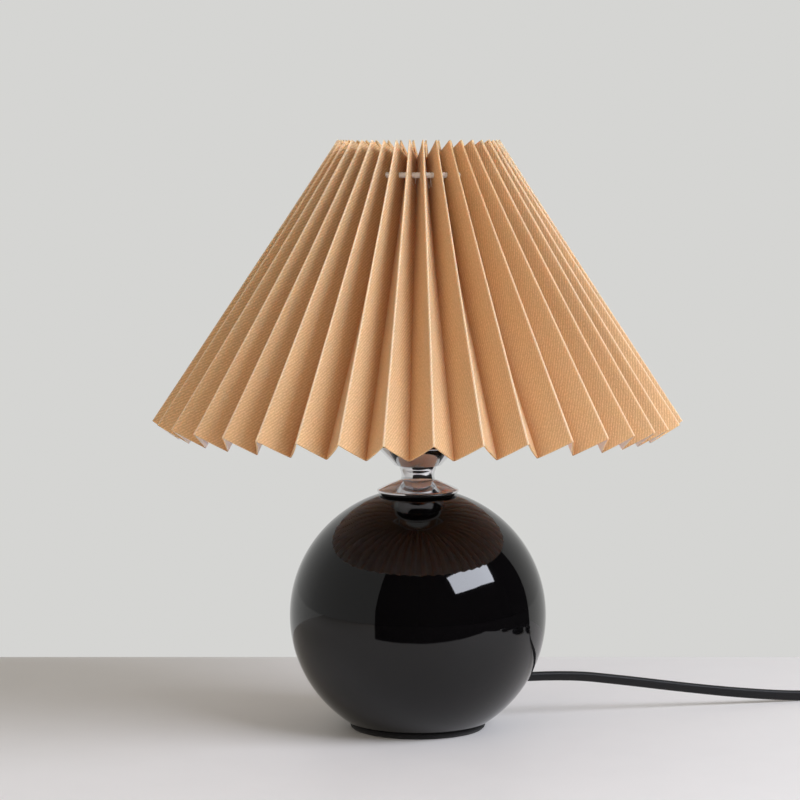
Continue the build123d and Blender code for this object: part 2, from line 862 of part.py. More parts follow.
def lead_sleeve(root, direction, length, root_radius, tip_radius, node):
    # Tapered sleeve round the lead, with a spigot into the housing that it comes out of
    root_plane = Plane(origin=root, z_dir=direction)
    with BuildPart() as sleeve:
        with BuildSketch(root_plane):
            Circle(root_radius)
        with BuildSketch(root_plane.offset(length)):
            Circle(tip_radius)
        loft(ruled=True)
        with BuildSketch(root_plane):
            Circle(spigot_radius)
        extrude(amount=-spigot_length)
        with BuildSketch(root_plane.offset(length)):
            Circle(lead_radius + slip)
        extrude(amount=-length - spigot_length, mode=Mode.SUBTRACT)
    save(sleeve, node)


# Hand switch: two case halves, rocker on its pin, contact strip, screws and lead sleeves
switch_in = Vector(*lead_run_route[-1])
switch_out = Vector(*lead_link_route[0])
switch_centre = (switch_in + switch_out) / 2
switch_end = switch_length / 2
switch_bottom = switch_centre.Z - switch_height / 2
switch_top = switch_centre.Z + switch_height / 2
room_bottom = switch_bottom + switch_floor
room_top = switch_top - switch_top_wall
pivot_height = switch_top - rocker_pivot_drop
spigot_hole_radius = spigot_radius + slip
screw_places = [(screw_x, screw_y), (-screw_x, -screw_y)]
screw_hole_radius = screw_radius + slip
screw_head_hole_radius = screw_head_radius + slip


def switch_level(height):
    # Level plane of the switch at a height
    return Plane(origin=(switch_centre.X, switch_centre.Y, height))


spigot_plane = Plane(origin=switch_centre, z_dir=(1, 0, 0))
with BuildPart() as switch_base:
    with BuildSketch(switch_level(switch_bottom)):
        RectangleRounded(switch_length, switch_width, switch_corner)
    extrude(amount=switch_height / 2)
    fillet(switch_base.edges().group_by(Axis.Z)[0], switch_edge)
    with BuildSketch(switch_level(room_bottom)):
        Rectangle(switch_room_length, switch_room_width)
    extrude(amount=switch_height / 2, mode=Mode.SUBTRACT)
    with BuildSketch(spigot_plane):
        Circle(spigot_hole_radius)
    extrude(amount=switch_length, both=True, mode=Mode.SUBTRACT)
    with BuildSketch(switch_level(switch_bottom)):
        with Locations(*screw_places):
            Circle(screw_hole_radius)
    extrude(amount=switch_height, mode=Mode.SUBTRACT)
    with BuildSketch(switch_level(switch_bottom)):
        with Locations(*screw_places):
            Circle(screw_head_hole_radius)
    extrude(amount=screw_head_height + clearance, mode=Mode.SUBTRACT)
save(switch_base, "switch_base")

slot_length = rocker_length + 2 * rocker_play
slot_width = rocker_width + rocker_play
screw_head_bottom = switch_bottom + clearance
with BuildPart() as switch_cover:
    with BuildSketch(switch_level(switch_centre.Z)):
        RectangleRounded(switch_length, switch_width, switch_corner)
    extrude(amount=switch_height / 2)
    fillet(switch_cover.edges().group_by(Axis.Z)[-1], switch_edge)
    with BuildSketch(switch_level(switch_centre.Z)):
        Rectangle(switch_room_length, switch_room_width)
    extrude(amount=room_top - switch_centre.Z, mode=Mode.SUBTRACT)
    with BuildSketch(switch_level(switch_centre.Z)):
        Rectangle(slot_length, slot_width)
    extrude(amount=switch_height, mode=Mode.SUBTRACT)
    with BuildSketch(spigot_plane):
        Circle(spigot_hole_radius)
    extrude(amount=switch_length, both=True, mode=Mode.SUBTRACT)
    with BuildSketch(Plane(origin=(switch_centre.X, switch_centre.Y, pivot_height), z_dir=(0, 1, 0))):
        Circle(rocker_pin_radius + slip)
    extrude(amount=rocker_width / 2 + rocker_pin_reach + clearance, both=True, mode=Mode.SUBTRACT)
    with BuildSketch(switch_level(screw_head_bottom)):
        with Locations(*screw_places):
            Circle(screw_hole_radius)
    extrude(amount=screw_head_height + screw_length + clearance, mode=Mode.SUBTRACT)
save(switch_cover, "switch_cover")

for number, place in enumerate(screw_places, start=1):
    with BuildPart() as switch_screw:
        with BuildSketch(switch_level(screw_head_bottom)):
            with Locations(place):
                Circle(screw_head_radius)
        extrude(amount=screw_head_height)
        with BuildSketch(switch_level(screw_head_bottom + screw_head_height)):
            with Locations(place):
                Circle(screw_radius)
        extrude(amount=screw_length)
    save(switch_screw, f"switch_screw_{number}")

rocker_half = rocker_length / 2
rocker_plane = Plane(
    origin=(switch_centre.X, switch_centre.Y, pivot_height),
    x_dir=(cos(radians(rocker_tilt)), 0, sin(radians(rocker_tilt))),
    z_dir=(0, -1, 0),
)
with BuildPart() as switch_rocker:
    with BuildSketch(rocker_plane):
        with BuildLine():
            Polyline(
                (-rocker_half, rocker_end_rise),
                (0, rocker_middle_rise),
                (rocker_half, rocker_end_rise),
                (rocker_half, 0),
                (rocker_half - rocker_foot, -rocker_depth),
                (rocker_foot - rocker_half, -rocker_depth),
                (-rocker_half, 0),
                close=True,
            )
        make_face()
    extrude(amount=rocker_width / 2, both=True)
    with BuildSketch(rocker_plane):
        Circle(rocker_pin_radius)
    extrude(amount=rocker_width / 2 + rocker_pin_reach, both=True)
save(switch_rocker, "switch_rocker")

with BuildPart() as switch_contact:
    with BuildSketch(switch_level(room_bottom)):
        Rectangle(contact_strip_length, contact_strip_width)
    extrude(amount=contact_strip_thickness)
save(switch_contact, "switch_contact")

in_root = switch_centre - Vector(switch_end, 0, 0)
out_root = switch_centre + Vector(switch_end, 0, 0)
switch_taper = (switch_sleeve_length, switch_sleeve_radius, switch_sleeve_tip_radius)
lead_sleeve(in_root, (-1, 0, 0), *switch_taper, "switch_sleeve_in")
lead_sleeve(out_root, (1, 0, 0), *switch_taper, "switch_sleeve_out")

# Two-pin plug, lying flat with its pins towards the front
plug_lead_end = Vector(*lead_tail_route[-1])
plug_back = plug_lead_end.Y + lead_grip - relief_length
plug_front = plug_back - plug_length
plug_x = plug_lead_end.X
plug_z = plug_lead_end.Z
relief_root = (plug_x, plug_back, plug_z)
lead_sleeve(relief_root, (0, 1, 0), relief_length, relief_radius, relief_tip_radius, "plug_relief")

pin_plane = Plane(origin=(plug_x, plug_front + pin_root, plug_z), x_dir=(1, 0, 0), z_dir=(0, -1, 0))
pin_places = [(-pin_spacing / 2, 0), (pin_spacing / 2, 0)]
with BuildPart() as plug_body:
    with BuildSketch(Plane(origin=(plug_x, 0, plug_z))):
        with BuildLine():
            Polyline(
                (-plug_back_width / 2, plug_back),
                (plug_back_width / 2, plug_back),
                (plug_width / 2, plug_back - plug_shoulder),
                (plug_width / 2, plug_front),
                (-plug_width / 2, plug_front),
                (-plug_width / 2, plug_back - plug_shoulder),
                close=True,
            )
        make_face()
    extrude(amount=plug_thickness / 2, both=True)
    fillet(plug_body.edges().filter_by(Axis.Z), plug_edge)
    fillet(plug_body.edges().group_by(Axis.Z)[0] + plug_body.edges().group_by(Axis.Z)[-1], plug_edge / 2)
    with BuildSketch(Plane(origin=(plug_x, plug_back, plug_z), z_dir=(0, -1, 0))):
        Circle(spigot_hole_radius)
    extrude(amount=spigot_length + clearance, mode=Mode.SUBTRACT)
    with BuildSketch(pin_plane):
        with Locations(*pin_places):
            Circle(pin_root_radius + slip)
    extrude(amount=pin_root, mode=Mode.SUBTRACT)
save(plug_body, "plug_body")

for number, place in enumerate(pin_places, start=1):
    with BuildPart() as plug_pin:
        with BuildSketch(pin_plane):
            with Locations(place):
                Circle(pin_root_radius)
        extrude(amount=pin_root)
        with BuildSketch(pin_plane.offset(pin_root)):
            with Locations(place):
                Circle(pin_radius)
        extrude(amount=pin_length)
        chamfer(plug_pin.edges().group_by(Axis.Y)[0], pin_tip_chamfer)
    save(plug_pin, f"plug_pin_{number}")
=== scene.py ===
import math
import random
import bpy
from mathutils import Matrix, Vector


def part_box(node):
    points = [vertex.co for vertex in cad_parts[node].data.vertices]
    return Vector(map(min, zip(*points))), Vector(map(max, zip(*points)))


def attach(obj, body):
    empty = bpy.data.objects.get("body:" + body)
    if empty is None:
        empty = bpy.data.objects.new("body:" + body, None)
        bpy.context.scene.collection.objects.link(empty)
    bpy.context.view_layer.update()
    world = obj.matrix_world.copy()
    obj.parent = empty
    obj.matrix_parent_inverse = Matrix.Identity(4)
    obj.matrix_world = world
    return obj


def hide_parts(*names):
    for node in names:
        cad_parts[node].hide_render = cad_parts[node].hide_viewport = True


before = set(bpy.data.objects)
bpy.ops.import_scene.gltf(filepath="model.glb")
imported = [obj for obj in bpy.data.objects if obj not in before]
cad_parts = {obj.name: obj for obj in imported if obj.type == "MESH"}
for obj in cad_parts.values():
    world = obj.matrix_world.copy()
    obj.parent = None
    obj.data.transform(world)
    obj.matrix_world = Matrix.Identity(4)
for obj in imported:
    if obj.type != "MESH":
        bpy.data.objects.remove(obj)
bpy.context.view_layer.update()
scene = bpy.context.scene
scene.view_settings.view_transform = "Standard"
mm = 0.001


def pickOnly(piece):
    bpy.ops.object.select_all(action="DESELECT")
    piece.select_set(True)
    bpy.context.view_layer.objects.active = piece


def addPiece(name, data):
    piece = bpy.data.objects.new(name, data)
    scene.collection.objects.link(piece)
    return piece


def curveThrough(name, kind, places):
    curve = bpy.data.curves.new(name, "CURVE")
    curve.dimensions = "3D"
    spline = curve.splines.new(kind)
    spline.points.add(len(places) - 1)
    for point, place in zip(spline.points, places):
        point.co = (*place, 1)
    return curve, spline


def smoothed(piece, angle=30):
    pickOnly(piece)
    bpy.ops.object.shade_smooth_by_angle(angle=math.radians(angle))
    return piece


def settle(piece, finish, body, slotName, *nodes):  # finish, body, slot (not used) and the solids it stands for
    if finish:
        piece.data.materials.clear()
        piece.data.materials.append(finish.material)
    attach(piece, body)
    if nodes:
        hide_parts(*nodes)
    return piece


# camera at the photograph's eye

eye = {"x": -0.0095, "distance": 1.5, "height": 0.3106, "pitch": 5.164, "lens": 128.09, "sensor": 36.0}

cameraData = bpy.data.cameras.new("photoCamera")
cameraData.lens = eye["lens"]
cameraData.sensor_width = eye["sensor"]
camera = addPiece("photoCamera", cameraData)
camera.location = (eye["x"], -eye["distance"], eye["height"])
camera.rotation_euler = (math.radians(90 - eye["pitch"]), 0, 0)
scene.camera = camera
print("camera placed")


# finishes: a socket that can be added, multiplied and compared, and the nodes behind it

class Value:
    def __init__(self, nodes, socket):
        self.nodes = nodes
        self.socket = socket

    def maths(self, operation, first, second):
        return self.nodes.add("Math", {"operation": operation}, [first, second])

    def __add__(self, other):
        return self.maths("ADD", self, other)

    def __sub__(self, other):
        return self.maths("SUBTRACT", self, other)

    def __rsub__(self, other):
        return self.maths("SUBTRACT", other, self)

    def __mul__(self, other):
        return self.maths("MULTIPLY", self, other)

    def __gt__(self, other):
        return self.maths("GREATER_THAN", self, other)

    def atLeast(self, other):
        return self.maths("MAXIMUM", self, other)

    def sine(self):
        return self.nodes.add("Math", {"operation": "SINE"}, [self])

    def ripple(self, length):
        return (self * (2 * math.pi / length)).sine()

    __radd__ = __add__
    __rmul__ = __mul__


class Nodes:
    def __init__(self, tree):
        self.tree = tree

    def add(self, kind, settings, inputs, output=0):
        node = self.tree.nodes.new("ShaderNode" + kind)
        for name, value in settings.items():
            setattr(node, name, value)
        pairs = inputs.items() if isinstance(inputs, dict) else enumerate(inputs)
        for key, value in pairs:
            if isinstance(value, Value):
                self.tree.links.new(value.socket, node.inputs[key])
            else:
                node.inputs[key].default_value = value
        return Value(self, node.outputs[output]) if node.outputs else None


class Finish(Nodes):
    def __init__(self, name, constants):
        self.material = bpy.data.materials.new(name)
        self.material.use_nodes = True
        super().__init__(self.material.node_tree)
        self.shader = self.tree.nodes["Principled BSDF"]
        for socket, value in constants.items():
            self.shader.inputs[socket].default_value = value

    def where(self, kind="Object"):
        return self.add("TexCoord", {}, {}, kind)

    def noise(self, vector, scale, detail=2.0, rough=0.5):
        sockets = {"Vector": vector, "Scale": scale, "Detail": detail, "Roughness": rough}
        return self.add("TexNoise", {}, sockets, "Fac")

    def stretched(self, vector, scale):
        return self.add("Mapping", {}, {"Vector": vector, "Scale": scale})

    def split(self, vector, axis):
        return self.add("SeparateXYZ", {}, [vector], axis)

    def blendColour(self, factor, first, second):
        return self.add("Mix", {"data_type": "RGBA"}, {0: factor, 6: first, 7: second}, 2)

    def feed(self, socket, value):
        self.tree.links.new(value.socket, self.shader.inputs[socket])

    def uneven(self, vector, look, detail=3.0):  # roughness that wanders between two limits
        low, high = look["rough"]
        self.feed("Roughness", self.noise(vector, look["roughScale"], detail) * (high - low) + low)

    def bump(self, height, distance):
        relief = self.add("Bump", {}, {"Strength": 1.0, "Distance": distance, "Height": height})
        self.feed("Normal", relief)


def grained(name, look):
    # a hard finish: two close tones, an uneven gloss and a fine relief, all in the solid's own space
    finish = Finish(name, look.get("constants", {}))
    place = finish.where()
    cloud = finish.noise(place, look["cloudScale"], detail=3.0)
    finish.feed("Base Color", finish.blendColour(cloud, (*look["dark"], 1), (*look["light"], 1)))
    finish.uneven(place, look, detail=4.0)
    if "relief" in look:
        finish.bump(finish.noise(place, look["reliefScale"], detail=3.0), look["relief"])
    return finish


blackGlaze = grained("blackGlaze", {
    "dark": (0.0016, 0.0014, 0.0016), "light": (0.0030, 0.0027, 0.0030), "cloudScale": 9,
    "rough": (0.025, 0.07), "roughScale": 26, "relief": 0.00012, "reliefScale": 34,
    "constants": {"Specular IOR Level": 0.41},
})
chrome = grained("chrome", {
    "dark": (0.72, 0.72, 0.735), "light": (0.80, 0.80, 0.81), "cloudScale": 60,
    "rough": (0.03, 0.11), "roughScale": 140, "constants": {"Metallic": 1.0},
})
zincSteel = grained("zincSteel", {
    "dark": (0.36, 0.36, 0.35), "light": (0.52, 0.52, 0.50), "cloudScale": 220,
    "rough": (0.28, 0.48), "roughScale": 400, "relief": 0.00004, "reliefScale": 900,
    "constants": {"Metallic": 1.0},
})
brass = grained("brass", {
    "dark": (0.50, 0.33, 0.11), "light": (0.66, 0.46, 0.17), "cloudScale": 160,
    "rough": (0.20, 0.38), "roughScale": 420, "constants": {"Metallic": 1.0},
})
bulbMetal = grained("bulbMetal", {
    "dark": (0.58, 0.58, 0.57), "light": (0.70, 0.70, 0.69), "cloudScale": 180,
    "rough": (0.18, 0.34), "roughScale": 380, "constants": {"Metallic": 1.0},
})
pinMetal = grained("pinMetal", {
    "dark": (0.60, 0.58, 0.52), "light": (0.74, 0.72, 0.66), "cloudScale": 260,
    "rough": (0.15, 0.32), "roughScale": 700, "constants": {"Metallic": 1.0},
})
rubber = grained("rubber", {
    "dark": (0.008, 0.008, 0.009), "light": (0.019, 0.019, 0.020), "cloudScale": 320,
    "rough": (0.55, 0.80), "roughScale": 800, "relief": 0.00005, "reliefScale": 1800,
    "constants": {"Specular IOR Level": 0.3},
})
footFelt = grained("footFelt", {
    "dark": (0.006, 0.006, 0.007), "light": (0.024, 0.023, 0.024), "cloudScale": 1400,
    "rough": (0.85, 1.0), "roughScale": 900, "relief": 0.0004, "reliefScale": 2400,
    "constants": {"Sheen Weight": 0.15, "Specular IOR Level": 0.1},
})
holderPlastic = grained("holderPlastic", {
    "dark": (0.009, 0.009, 0.010), "light": (0.020, 0.020, 0.021), "cloudScale": 120,
    "rough": (0.24, 0.42), "roughScale": 500, "relief": 0.00003, "reliefScale": 1500,
})
leadPlastic = grained("leadPlastic", {
    "dark": (0.010, 0.010, 0.011), "light": (0.022, 0.021, 0.022), "cloudScale": 150,
    "rough": (0.34, 0.52), "roughScale": 700, "relief": 0.00004, "reliefScale": 2600,
})
rockerPlastic = grained("rockerPlastic", {
    "dark": (0.016, 0.016, 0.017), "light": (0.032, 0.031, 0.032), "cloudScale": 200,
    "rough": (0.20, 0.32), "roughScale": 900, "relief": 0.00002, "reliefScale": 2600,
})
porcelain = grained("porcelain", {
    "dark": (0.70, 0.68, 0.63), "light": (0.80, 0.79, 0.75), "cloudScale": 140,
    "rough": (0.22, 0.45), "roughScale": 420, "relief": 0.00006, "reliefScale": 900,
})
blackGlass = grained("blackGlass", {
    "dark": (0.006, 0.005, 0.008), "light": (0.016, 0.013, 0.019), "cloudScale": 260,
    "rough": (0.04, 0.12), "roughScale": 300,
})
whitePlastic = grained("whitePlastic", {
    "dark": (0.70, 0.70, 0.68), "light": (0.79, 0.79, 0.77), "cloudScale": 90,
    "rough": (0.32, 0.46), "roughScale": 600, "relief": 0.00003, "reliefScale": 2200,
})
opalDome = grained("opalDome", {
    "dark": (0.80, 0.79, 0.75), "light": (0.86, 0.855, 0.82), "cloudScale": 40,
    "rough": (0.30, 0.44), "roughScale": 240, "relief": 0.00002, "reliefScale": 1500,
    "constants": {"Subsurface Weight": 0.35, "Subsurface Radius": (1.0, 1.0, 0.9), "Subsurface Scale": 0.003},
})
whiteWire = grained("whiteWire", {
    "dark": (0.66, 0.66, 0.64), "light": (0.78, 0.78, 0.76), "cloudScale": 240,
    "rough": (0.30, 0.46), "roughScale": 600, "relief": 0.00005, "reliefScale": 1200,
})
coreBrown = grained("coreBrown", {
    "dark": (0.10, 0.04, 0.018), "light": (0.15, 0.062, 0.028), "cloudScale": 300,
    "rough": (0.35, 0.5), "roughScale": 600,
})
coreBlue = grained("coreBlue", {
    "dark": (0.02, 0.07, 0.26), "light": (0.035, 0.10, 0.34), "cloudScale": 300,
    "rough": (0.35, 0.5), "roughScale": 600,
})


# mains lead: one smooth line from the ball through the hand switch and the coil to the plug

lead = {
    "width": 5.6, "thickness": 3.6, "groove": 0.16, "grooveWidth": 0.8,
    "sideFullness": 0.72, "faceFullness": 0.8, "sectionPoints": 22, "smoothAngle": 50, "realLength": 1.68,
    "outOfBall": [
        (51.36, 16.69, 23.2), (79.9, 25.96, 23.2), (112.2, 36.5, 18.0), (144.6, 47.0, 12.2),
        (178.8, 58.1, 6.7), (211.1, 68.6, 2.9), (231.0, 74.5, 2.6), (246.0, 78.4, 5.0),
        (260.0, 80.0, 8.0), (272.0, 80.0, 8.0),
    ],
    "inSwitch": [(290.0, 80.0, 8.0), (316.0, 80.0, 8.0)],
    "toCoil": [
        (334.0, 80.0, 8.0), (348.0, 80.0, 8.0), (361.2, 74.5, 7.2), (371.3, 64.4, 5.9),
        (376.8, 51.2, 4.7), (377.0, 34.0, 4.1), (377.0, 17.6, 4.1),
    ],
    "toPlug": [
        (373.7, 6.4, 10.3), (373.7, -5.0, 10.3), (375.0, -20.0, 10.1), (376.0, -35.0, 8.6),
        (376.0, -48.0, 7.1), (376.0, -58.0, 7.1),
    ],
    # share of the length, turn of the flat side from upright in degrees
    "twist": [(0.0, 36), (0.06, 24), (0.10, 4), (0.128, 52), (0.14, 90), (0.18, 90), (0.22, 20), (0.25, 0),
              (0.95, 0), (1.0, 60)],
}
coil = {
    "centre": (334.0, 12.0), "radius": 43.0, "pitch": 6.6, "turnsIn": 3, "turnsOut": 2.5,
    "base": 4.1, "climb": 6.2, "pointsPerTurn": 24, "ease": math.pi / 4,
}


def coilPoint(angle):
    # winds in on the lower layer, climbs in half a turn and winds out again on the upper one
    rate = coil["pitch"] / (2 * math.pi)
    windIn = 2 * math.pi * coil["turnsIn"]
    innerRadius = coil["radius"] - rate * (windIn - coil["ease"] / 2)
    climbed = angle - windIn
    outward = climbed - math.pi
    ending = outward - (2 * math.pi * coil["turnsOut"] - coil["ease"])
    height = coil["base"]
    if angle < coil["ease"]:
        radius = coil["radius"] - rate * angle ** 2 / (2 * coil["ease"])
    elif climbed < 0:
        radius = coil["radius"] - rate * (angle - coil["ease"] / 2)
    elif outward < 0:
        share = climbed / math.pi
        radius = innerRadius - rate * climbed + rate * climbed ** 2 / math.pi
        height += coil["climb"] * share ** 2 * (3 - 2 * share)
    else:
        radius = innerRadius + rate * outward
        height += coil["climb"]
        if ending > 0:
            radius -= rate * ending ** 2 / (2 * coil["ease"])
    x, y = coil["centre"]
    return (x + radius * math.cos(angle), y - radius * math.sin(angle), height)


def smoothLine(name, points):
    # smooth line led by given points, read back as points along the line
    curve, spline = curveThrough(name, "NURBS", [Vector(point) * mm for point in points])
    spline.resolution_u = 6
    spline.order_u = 3
    spline.use_endpoint_u = True
    route = addPiece(name, curve)
    bpy.context.view_layer.update()
    line = bpy.data.meshes.new_from_object(route.evaluated_get(bpy.context.evaluated_depsgraph_get()))
    places = [v.co.copy() for v in line.vertices]
    bpy.data.meshes.remove(line)
    bpy.data.objects.remove(route)
    return places


def between(stops, share):
    for (start, first), (end, second) in zip(stops, stops[1:]):
        if share <= end:
            part = (share - start) / (end - start)
            return first + (second - first) * part * part * (3 - 2 * part)
    return stops[-1][1]


def fuller(wave, power):
    return math.copysign(abs(wave) ** power, wave)


def leadSection():
    # flat twin lead: two round cores under one sheath, with a shallow groove between them
    points = []
    for step in range(lead["sectionPoints"]):
        turn = 2 * math.pi * step / lead["sectionPoints"]
        wide = fuller(math.cos(turn), lead["sideFullness"]) * lead["width"] / 2
        thick = fuller(math.sin(turn), lead["faceFullness"]) * lead["thickness"] / 2
        thick *= 1 - lead["groove"] * math.exp(-(wide / lead["grooveWidth"]) ** 2)
        points.append((wide * mm, thick * mm))
    return points


def leadTube(name, path):
    steps = [(second - first).length for first, second in zip(path, path[1:])]
    total = sum(steps)
    section = leadSection()
    count = len(section)
    verts, faces, marks, along = [], [], [], 0.0
    for index, place in enumerate(path):
        heading = (path[min(index + 1, len(path) - 1)] - path[max(index - 1, 0)]).normalized()
        upright = (Vector((0, 0, 1)) - heading * heading.z).normalized()
        sideways = heading.cross(upright)
        turn = math.radians(between(lead["twist"], along / total))
        wideWay = upright * math.cos(turn) + sideways * math.sin(turn)
        thickWay = heading.cross(wideWay)
        for wide, thick in section:
            verts.append(place + wideWay * wide + thickWay * thick)
        marks.append(along)
        if index:
            low = (index - 1) * count
            for step in range(count):
                after = (step + 1) % count
                faces.append((low + step, low + after, low + count + after, low + count + step))
        along += steps[index] if index < len(steps) else 0.0
    faces.append(tuple(range(count)))
    faces.append(tuple(reversed(range(len(verts) - count, len(verts)))))
    mesh = bpy.data.meshes.new(name)
    mesh.from_pydata(verts, [], faces)
    uvLayer = mesh.uv_layers.new(name="sheath")
    for face in mesh.polygons:
        columns = [mesh.loops[loop].vertex_index % count for loop in face.loop_indices]
        wraps = 0 in columns and count - 1 in columns
        for loop, column in zip(face.loop_indices, columns):
            row = mesh.loops[loop].vertex_index // count
            spread = column + count if wraps and column == 0 else column
            uvLayer.data[loop].uv = (spread / count, marks[row])
    tube = addPiece(name, mesh)
    pickOnly(tube)
    bpy.ops.object.mode_set(mode="EDIT")
    bpy.ops.mesh.select_all(action="SELECT")
    bpy.ops.mesh.normals_make_consistent(inside=False)
    bpy.ops.object.mode_set(mode="OBJECT")
    return smoothed(tube, lead["smoothAngle"])


sheathLook = {
    "streaks": (30.0, 55.0, 1.0), "dark": (0.0060, 0.0058, 0.0066, 1), "light": (0.0125, 0.0120, 0.0130, 1),
    "rough": (0.36, 0.56), "roughScale": 260, "relief": 0.00003, "reliefScale": 1900,
}


def sheathFinish():
    sheath = Finish("leadSheath", {"Specular IOR Level": 0.25})
    place = sheath.where()
    streak = sheath.noise(sheath.stretched(sheath.where("UV"), sheathLook["streaks"]), 1.0, detail=3.0)
    sheath.feed("Base Color", sheath.blendColour(streak, sheathLook["dark"], sheathLook["light"]))
    sheath.uneven(place, sheathLook)
    sheath.bump(sheath.noise(place, sheathLook["reliefScale"]), sheathLook["relief"])
    return sheath


coilTurns = coil["turnsIn"] + 0.5 + coil["turnsOut"]  # half a turn climbs between the two layers
coilSteps = round(coilTurns * coil["pointsPerTurn"])
coilPoints = [coilPoint(2 * math.pi * coilTurns * step / coilSteps) for step in range(coilSteps + 1)]
leadPath = smoothLine(
    "leadRoute", lead["outOfBall"] + lead["inSwitch"] + lead["toCoil"] + coilPoints + lead["toPlug"]
)
leadSheath = sheathFinish()
mainsLead = leadTube("mainsLead", leadPath)
settle(mainsLead, leadSheath, "lamp", "cable", "lead_run", "lead_link", "lead_coil", "lead_tail")
print("mains lead laid")


# pieces turned on the lamp's axis

def spun(name, profile, steps=96, closed=True):
    # draws the outline as a curve, makes it a mesh and spins it round the axis
    curve, spline = curveThrough(name, "POLY", [(radius * mm, 0, height * mm) for radius, height in profile])
    spline.use_cyclic_u = closed
    piece = addPiece(name, curve)
    pickOnly(piece)
    bpy.ops.object.convert(target="MESH")
    bpy.ops.object.mode_set(mode="EDIT")
    bpy.ops.mesh.select_all(action="SELECT")
    bpy.ops.mesh.spin(steps=steps, angle=2 * math.pi, center=(0, 0, 0), axis=(0, 0, 1))
    bpy.ops.mesh.select_all(action="SELECT")
    bpy.ops.mesh.remove_doubles(threshold=1e-6)
    bpy.ops.mesh.normals_make_consistent(inside=False)
    bpy.ops.object.mode_set(mode="OBJECT")
    return piece


def softened(piece, width, segments=3, angle=35):
    pickOnly(piece)
    bevel = piece.modifiers.new("softEdges", "BEVEL")
    bevel.width = width * mm
    bevel.segments = segments
    bevel.limit_method = "ANGLE"
    bevel.angle_limit = math.radians(angle)
    bpy.ops.object.modifier_apply(modifier=bevel.name)
    return smoothed(piece)


def squareSection(inner, outer, low, high):
    return [(inner, low), (outer, low), (outer, high), (inner, high)]


# ceramic ball on its foot pad

ball = {
    "radius": 68.2, "halfHeight": 67.7, "centre": 60.4, "topFlat": 20.0, "bottom": 3.3, "opening": 25.0,
    "wall": 5.0, "topThickness": 7.0, "neckHole": 5.3, "turns": 180, "rows": 72, "innerRows": 24,
    "exitBearing": 18.0, "exitHeight": 23.2, "exitRadius": 4.75,
    "drillMiddle": 56.0, "drillLength": 40.0, "drillSides": 64,
}
foot = {"radius": 36.0, "height": 3.3, "edge": 1.8, "turns": 128}


def ovalArc(halfWidth, halfHeight, startRadius, endRadius, startAbove, endAbove, rows):
    start = math.acos(startRadius / halfWidth) * (1 if startAbove else -1)
    end = math.acos(endRadius / halfWidth) * (1 if endAbove else -1)
    turns = [start + (end - start) * row / rows for row in range(rows + 1)]
    return [(halfWidth * math.cos(t), ball["centre"] + halfHeight * math.sin(t)) for t in turns]


def ballProfile():
    below = ball["centre"] - ball["bottom"]
    footRadius = ball["radius"] * math.sqrt(1 - (below / ball["halfHeight"]) ** 2)
    outside = ovalArc(
        ball["radius"], ball["halfHeight"], ball["topFlat"], footRadius, True, False, ball["rows"]
    )
    innerRadius = ball["radius"] - ball["wall"]
    innerHalf = ball["halfHeight"] - ball["wall"]
    ceiling = outside[0][1] - ball["topThickness"]
    ceilingRadius = innerRadius * math.sqrt(1 - ((ceiling - ball["centre"]) / innerHalf) ** 2)
    inside = ovalArc(innerRadius, innerHalf, ball["opening"], ceilingRadius, False, True, ball["innerRows"])
    return (
        [(ball["neckHole"], outside[0][1])] + outside
        + [(ball["opening"], ball["bottom"])] + inside + [(ball["neckHole"], ceiling)]
    )


ceramicBall = spun("ceramicBall", ballProfile(), ball["turns"])
exitTurn = math.radians(ball["exitBearing"])
exitWay = Vector((math.cos(exitTurn), math.sin(exitTurn), 0))
bpy.ops.object.select_all(action="DESELECT")
bpy.ops.mesh.primitive_cylinder_add(
    vertices=ball["drillSides"], radius=ball["exitRadius"] * mm, depth=ball["drillLength"] * mm,
    location=exitWay * ball["drillMiddle"] * mm + Vector((0, 0, ball["exitHeight"] * mm)),
    rotation=(0, math.pi / 2, exitTurn),
)
drill = bpy.context.object
pickOnly(ceramicBall)
hole = ceramicBall.modifiers.new("leadHole", "BOOLEAN")
hole.operation = "DIFFERENCE"
hole.object = drill
bpy.ops.object.modifier_apply(modifier=hole.name)
bpy.data.objects.remove(drill)
smoothed(ceramicBall)
settle(ceramicBall, blackGlaze, "lamp", "ceramic", "ball_body")

footOutline = squareSection(0.0, foot["radius"], 0.0, foot["height"])
footPad = softened(spun("footPad", footOutline, foot["turns"], False), foot["edge"])
settle(footPad, footFelt, "lamp", "foot", "foot_pad")
print("ball and foot made")


# grommet where the lead leaves the ball

grommet = {"bore": 2.95, "barrel": 4.6, "lip": 6.0, "lipThickness": 0.9, "lipSink": 0.7, "sink": 0.4,
           "edge": 0.35, "turns": 48}


def grommetPiece():
    level = ball["exitHeight"] - ball["centre"]
    reach = ball["radius"] * math.sqrt(1 - (level / ball["halfHeight"]) ** 2)
    outer, inner = reach - grommet["sink"], reach - ball["wall"] - grommet["sink"]
    seat, face = outer - grommet["lipSink"], outer + grommet["lipThickness"]
    profile = [(grommet["bore"], inner), (grommet["barrel"], inner), (grommet["barrel"], seat),
               (grommet["lip"], seat), (grommet["lip"], face), (grommet["bore"], face)]
    piece = softened(spun("leadGrommet", profile, grommet["turns"]), grommet["edge"])
    pickOnly(piece)
    piece.rotation_euler = (0, math.pi / 2, exitTurn)
    piece.location = (0, 0, ball["exitHeight"] * mm)
    bpy.ops.object.transform_apply()
    return piece


settle(grommetPiece(), rubber, "lamp", "rubber", "lead_bush")


# plated neck: gasket, cap, spool and cup

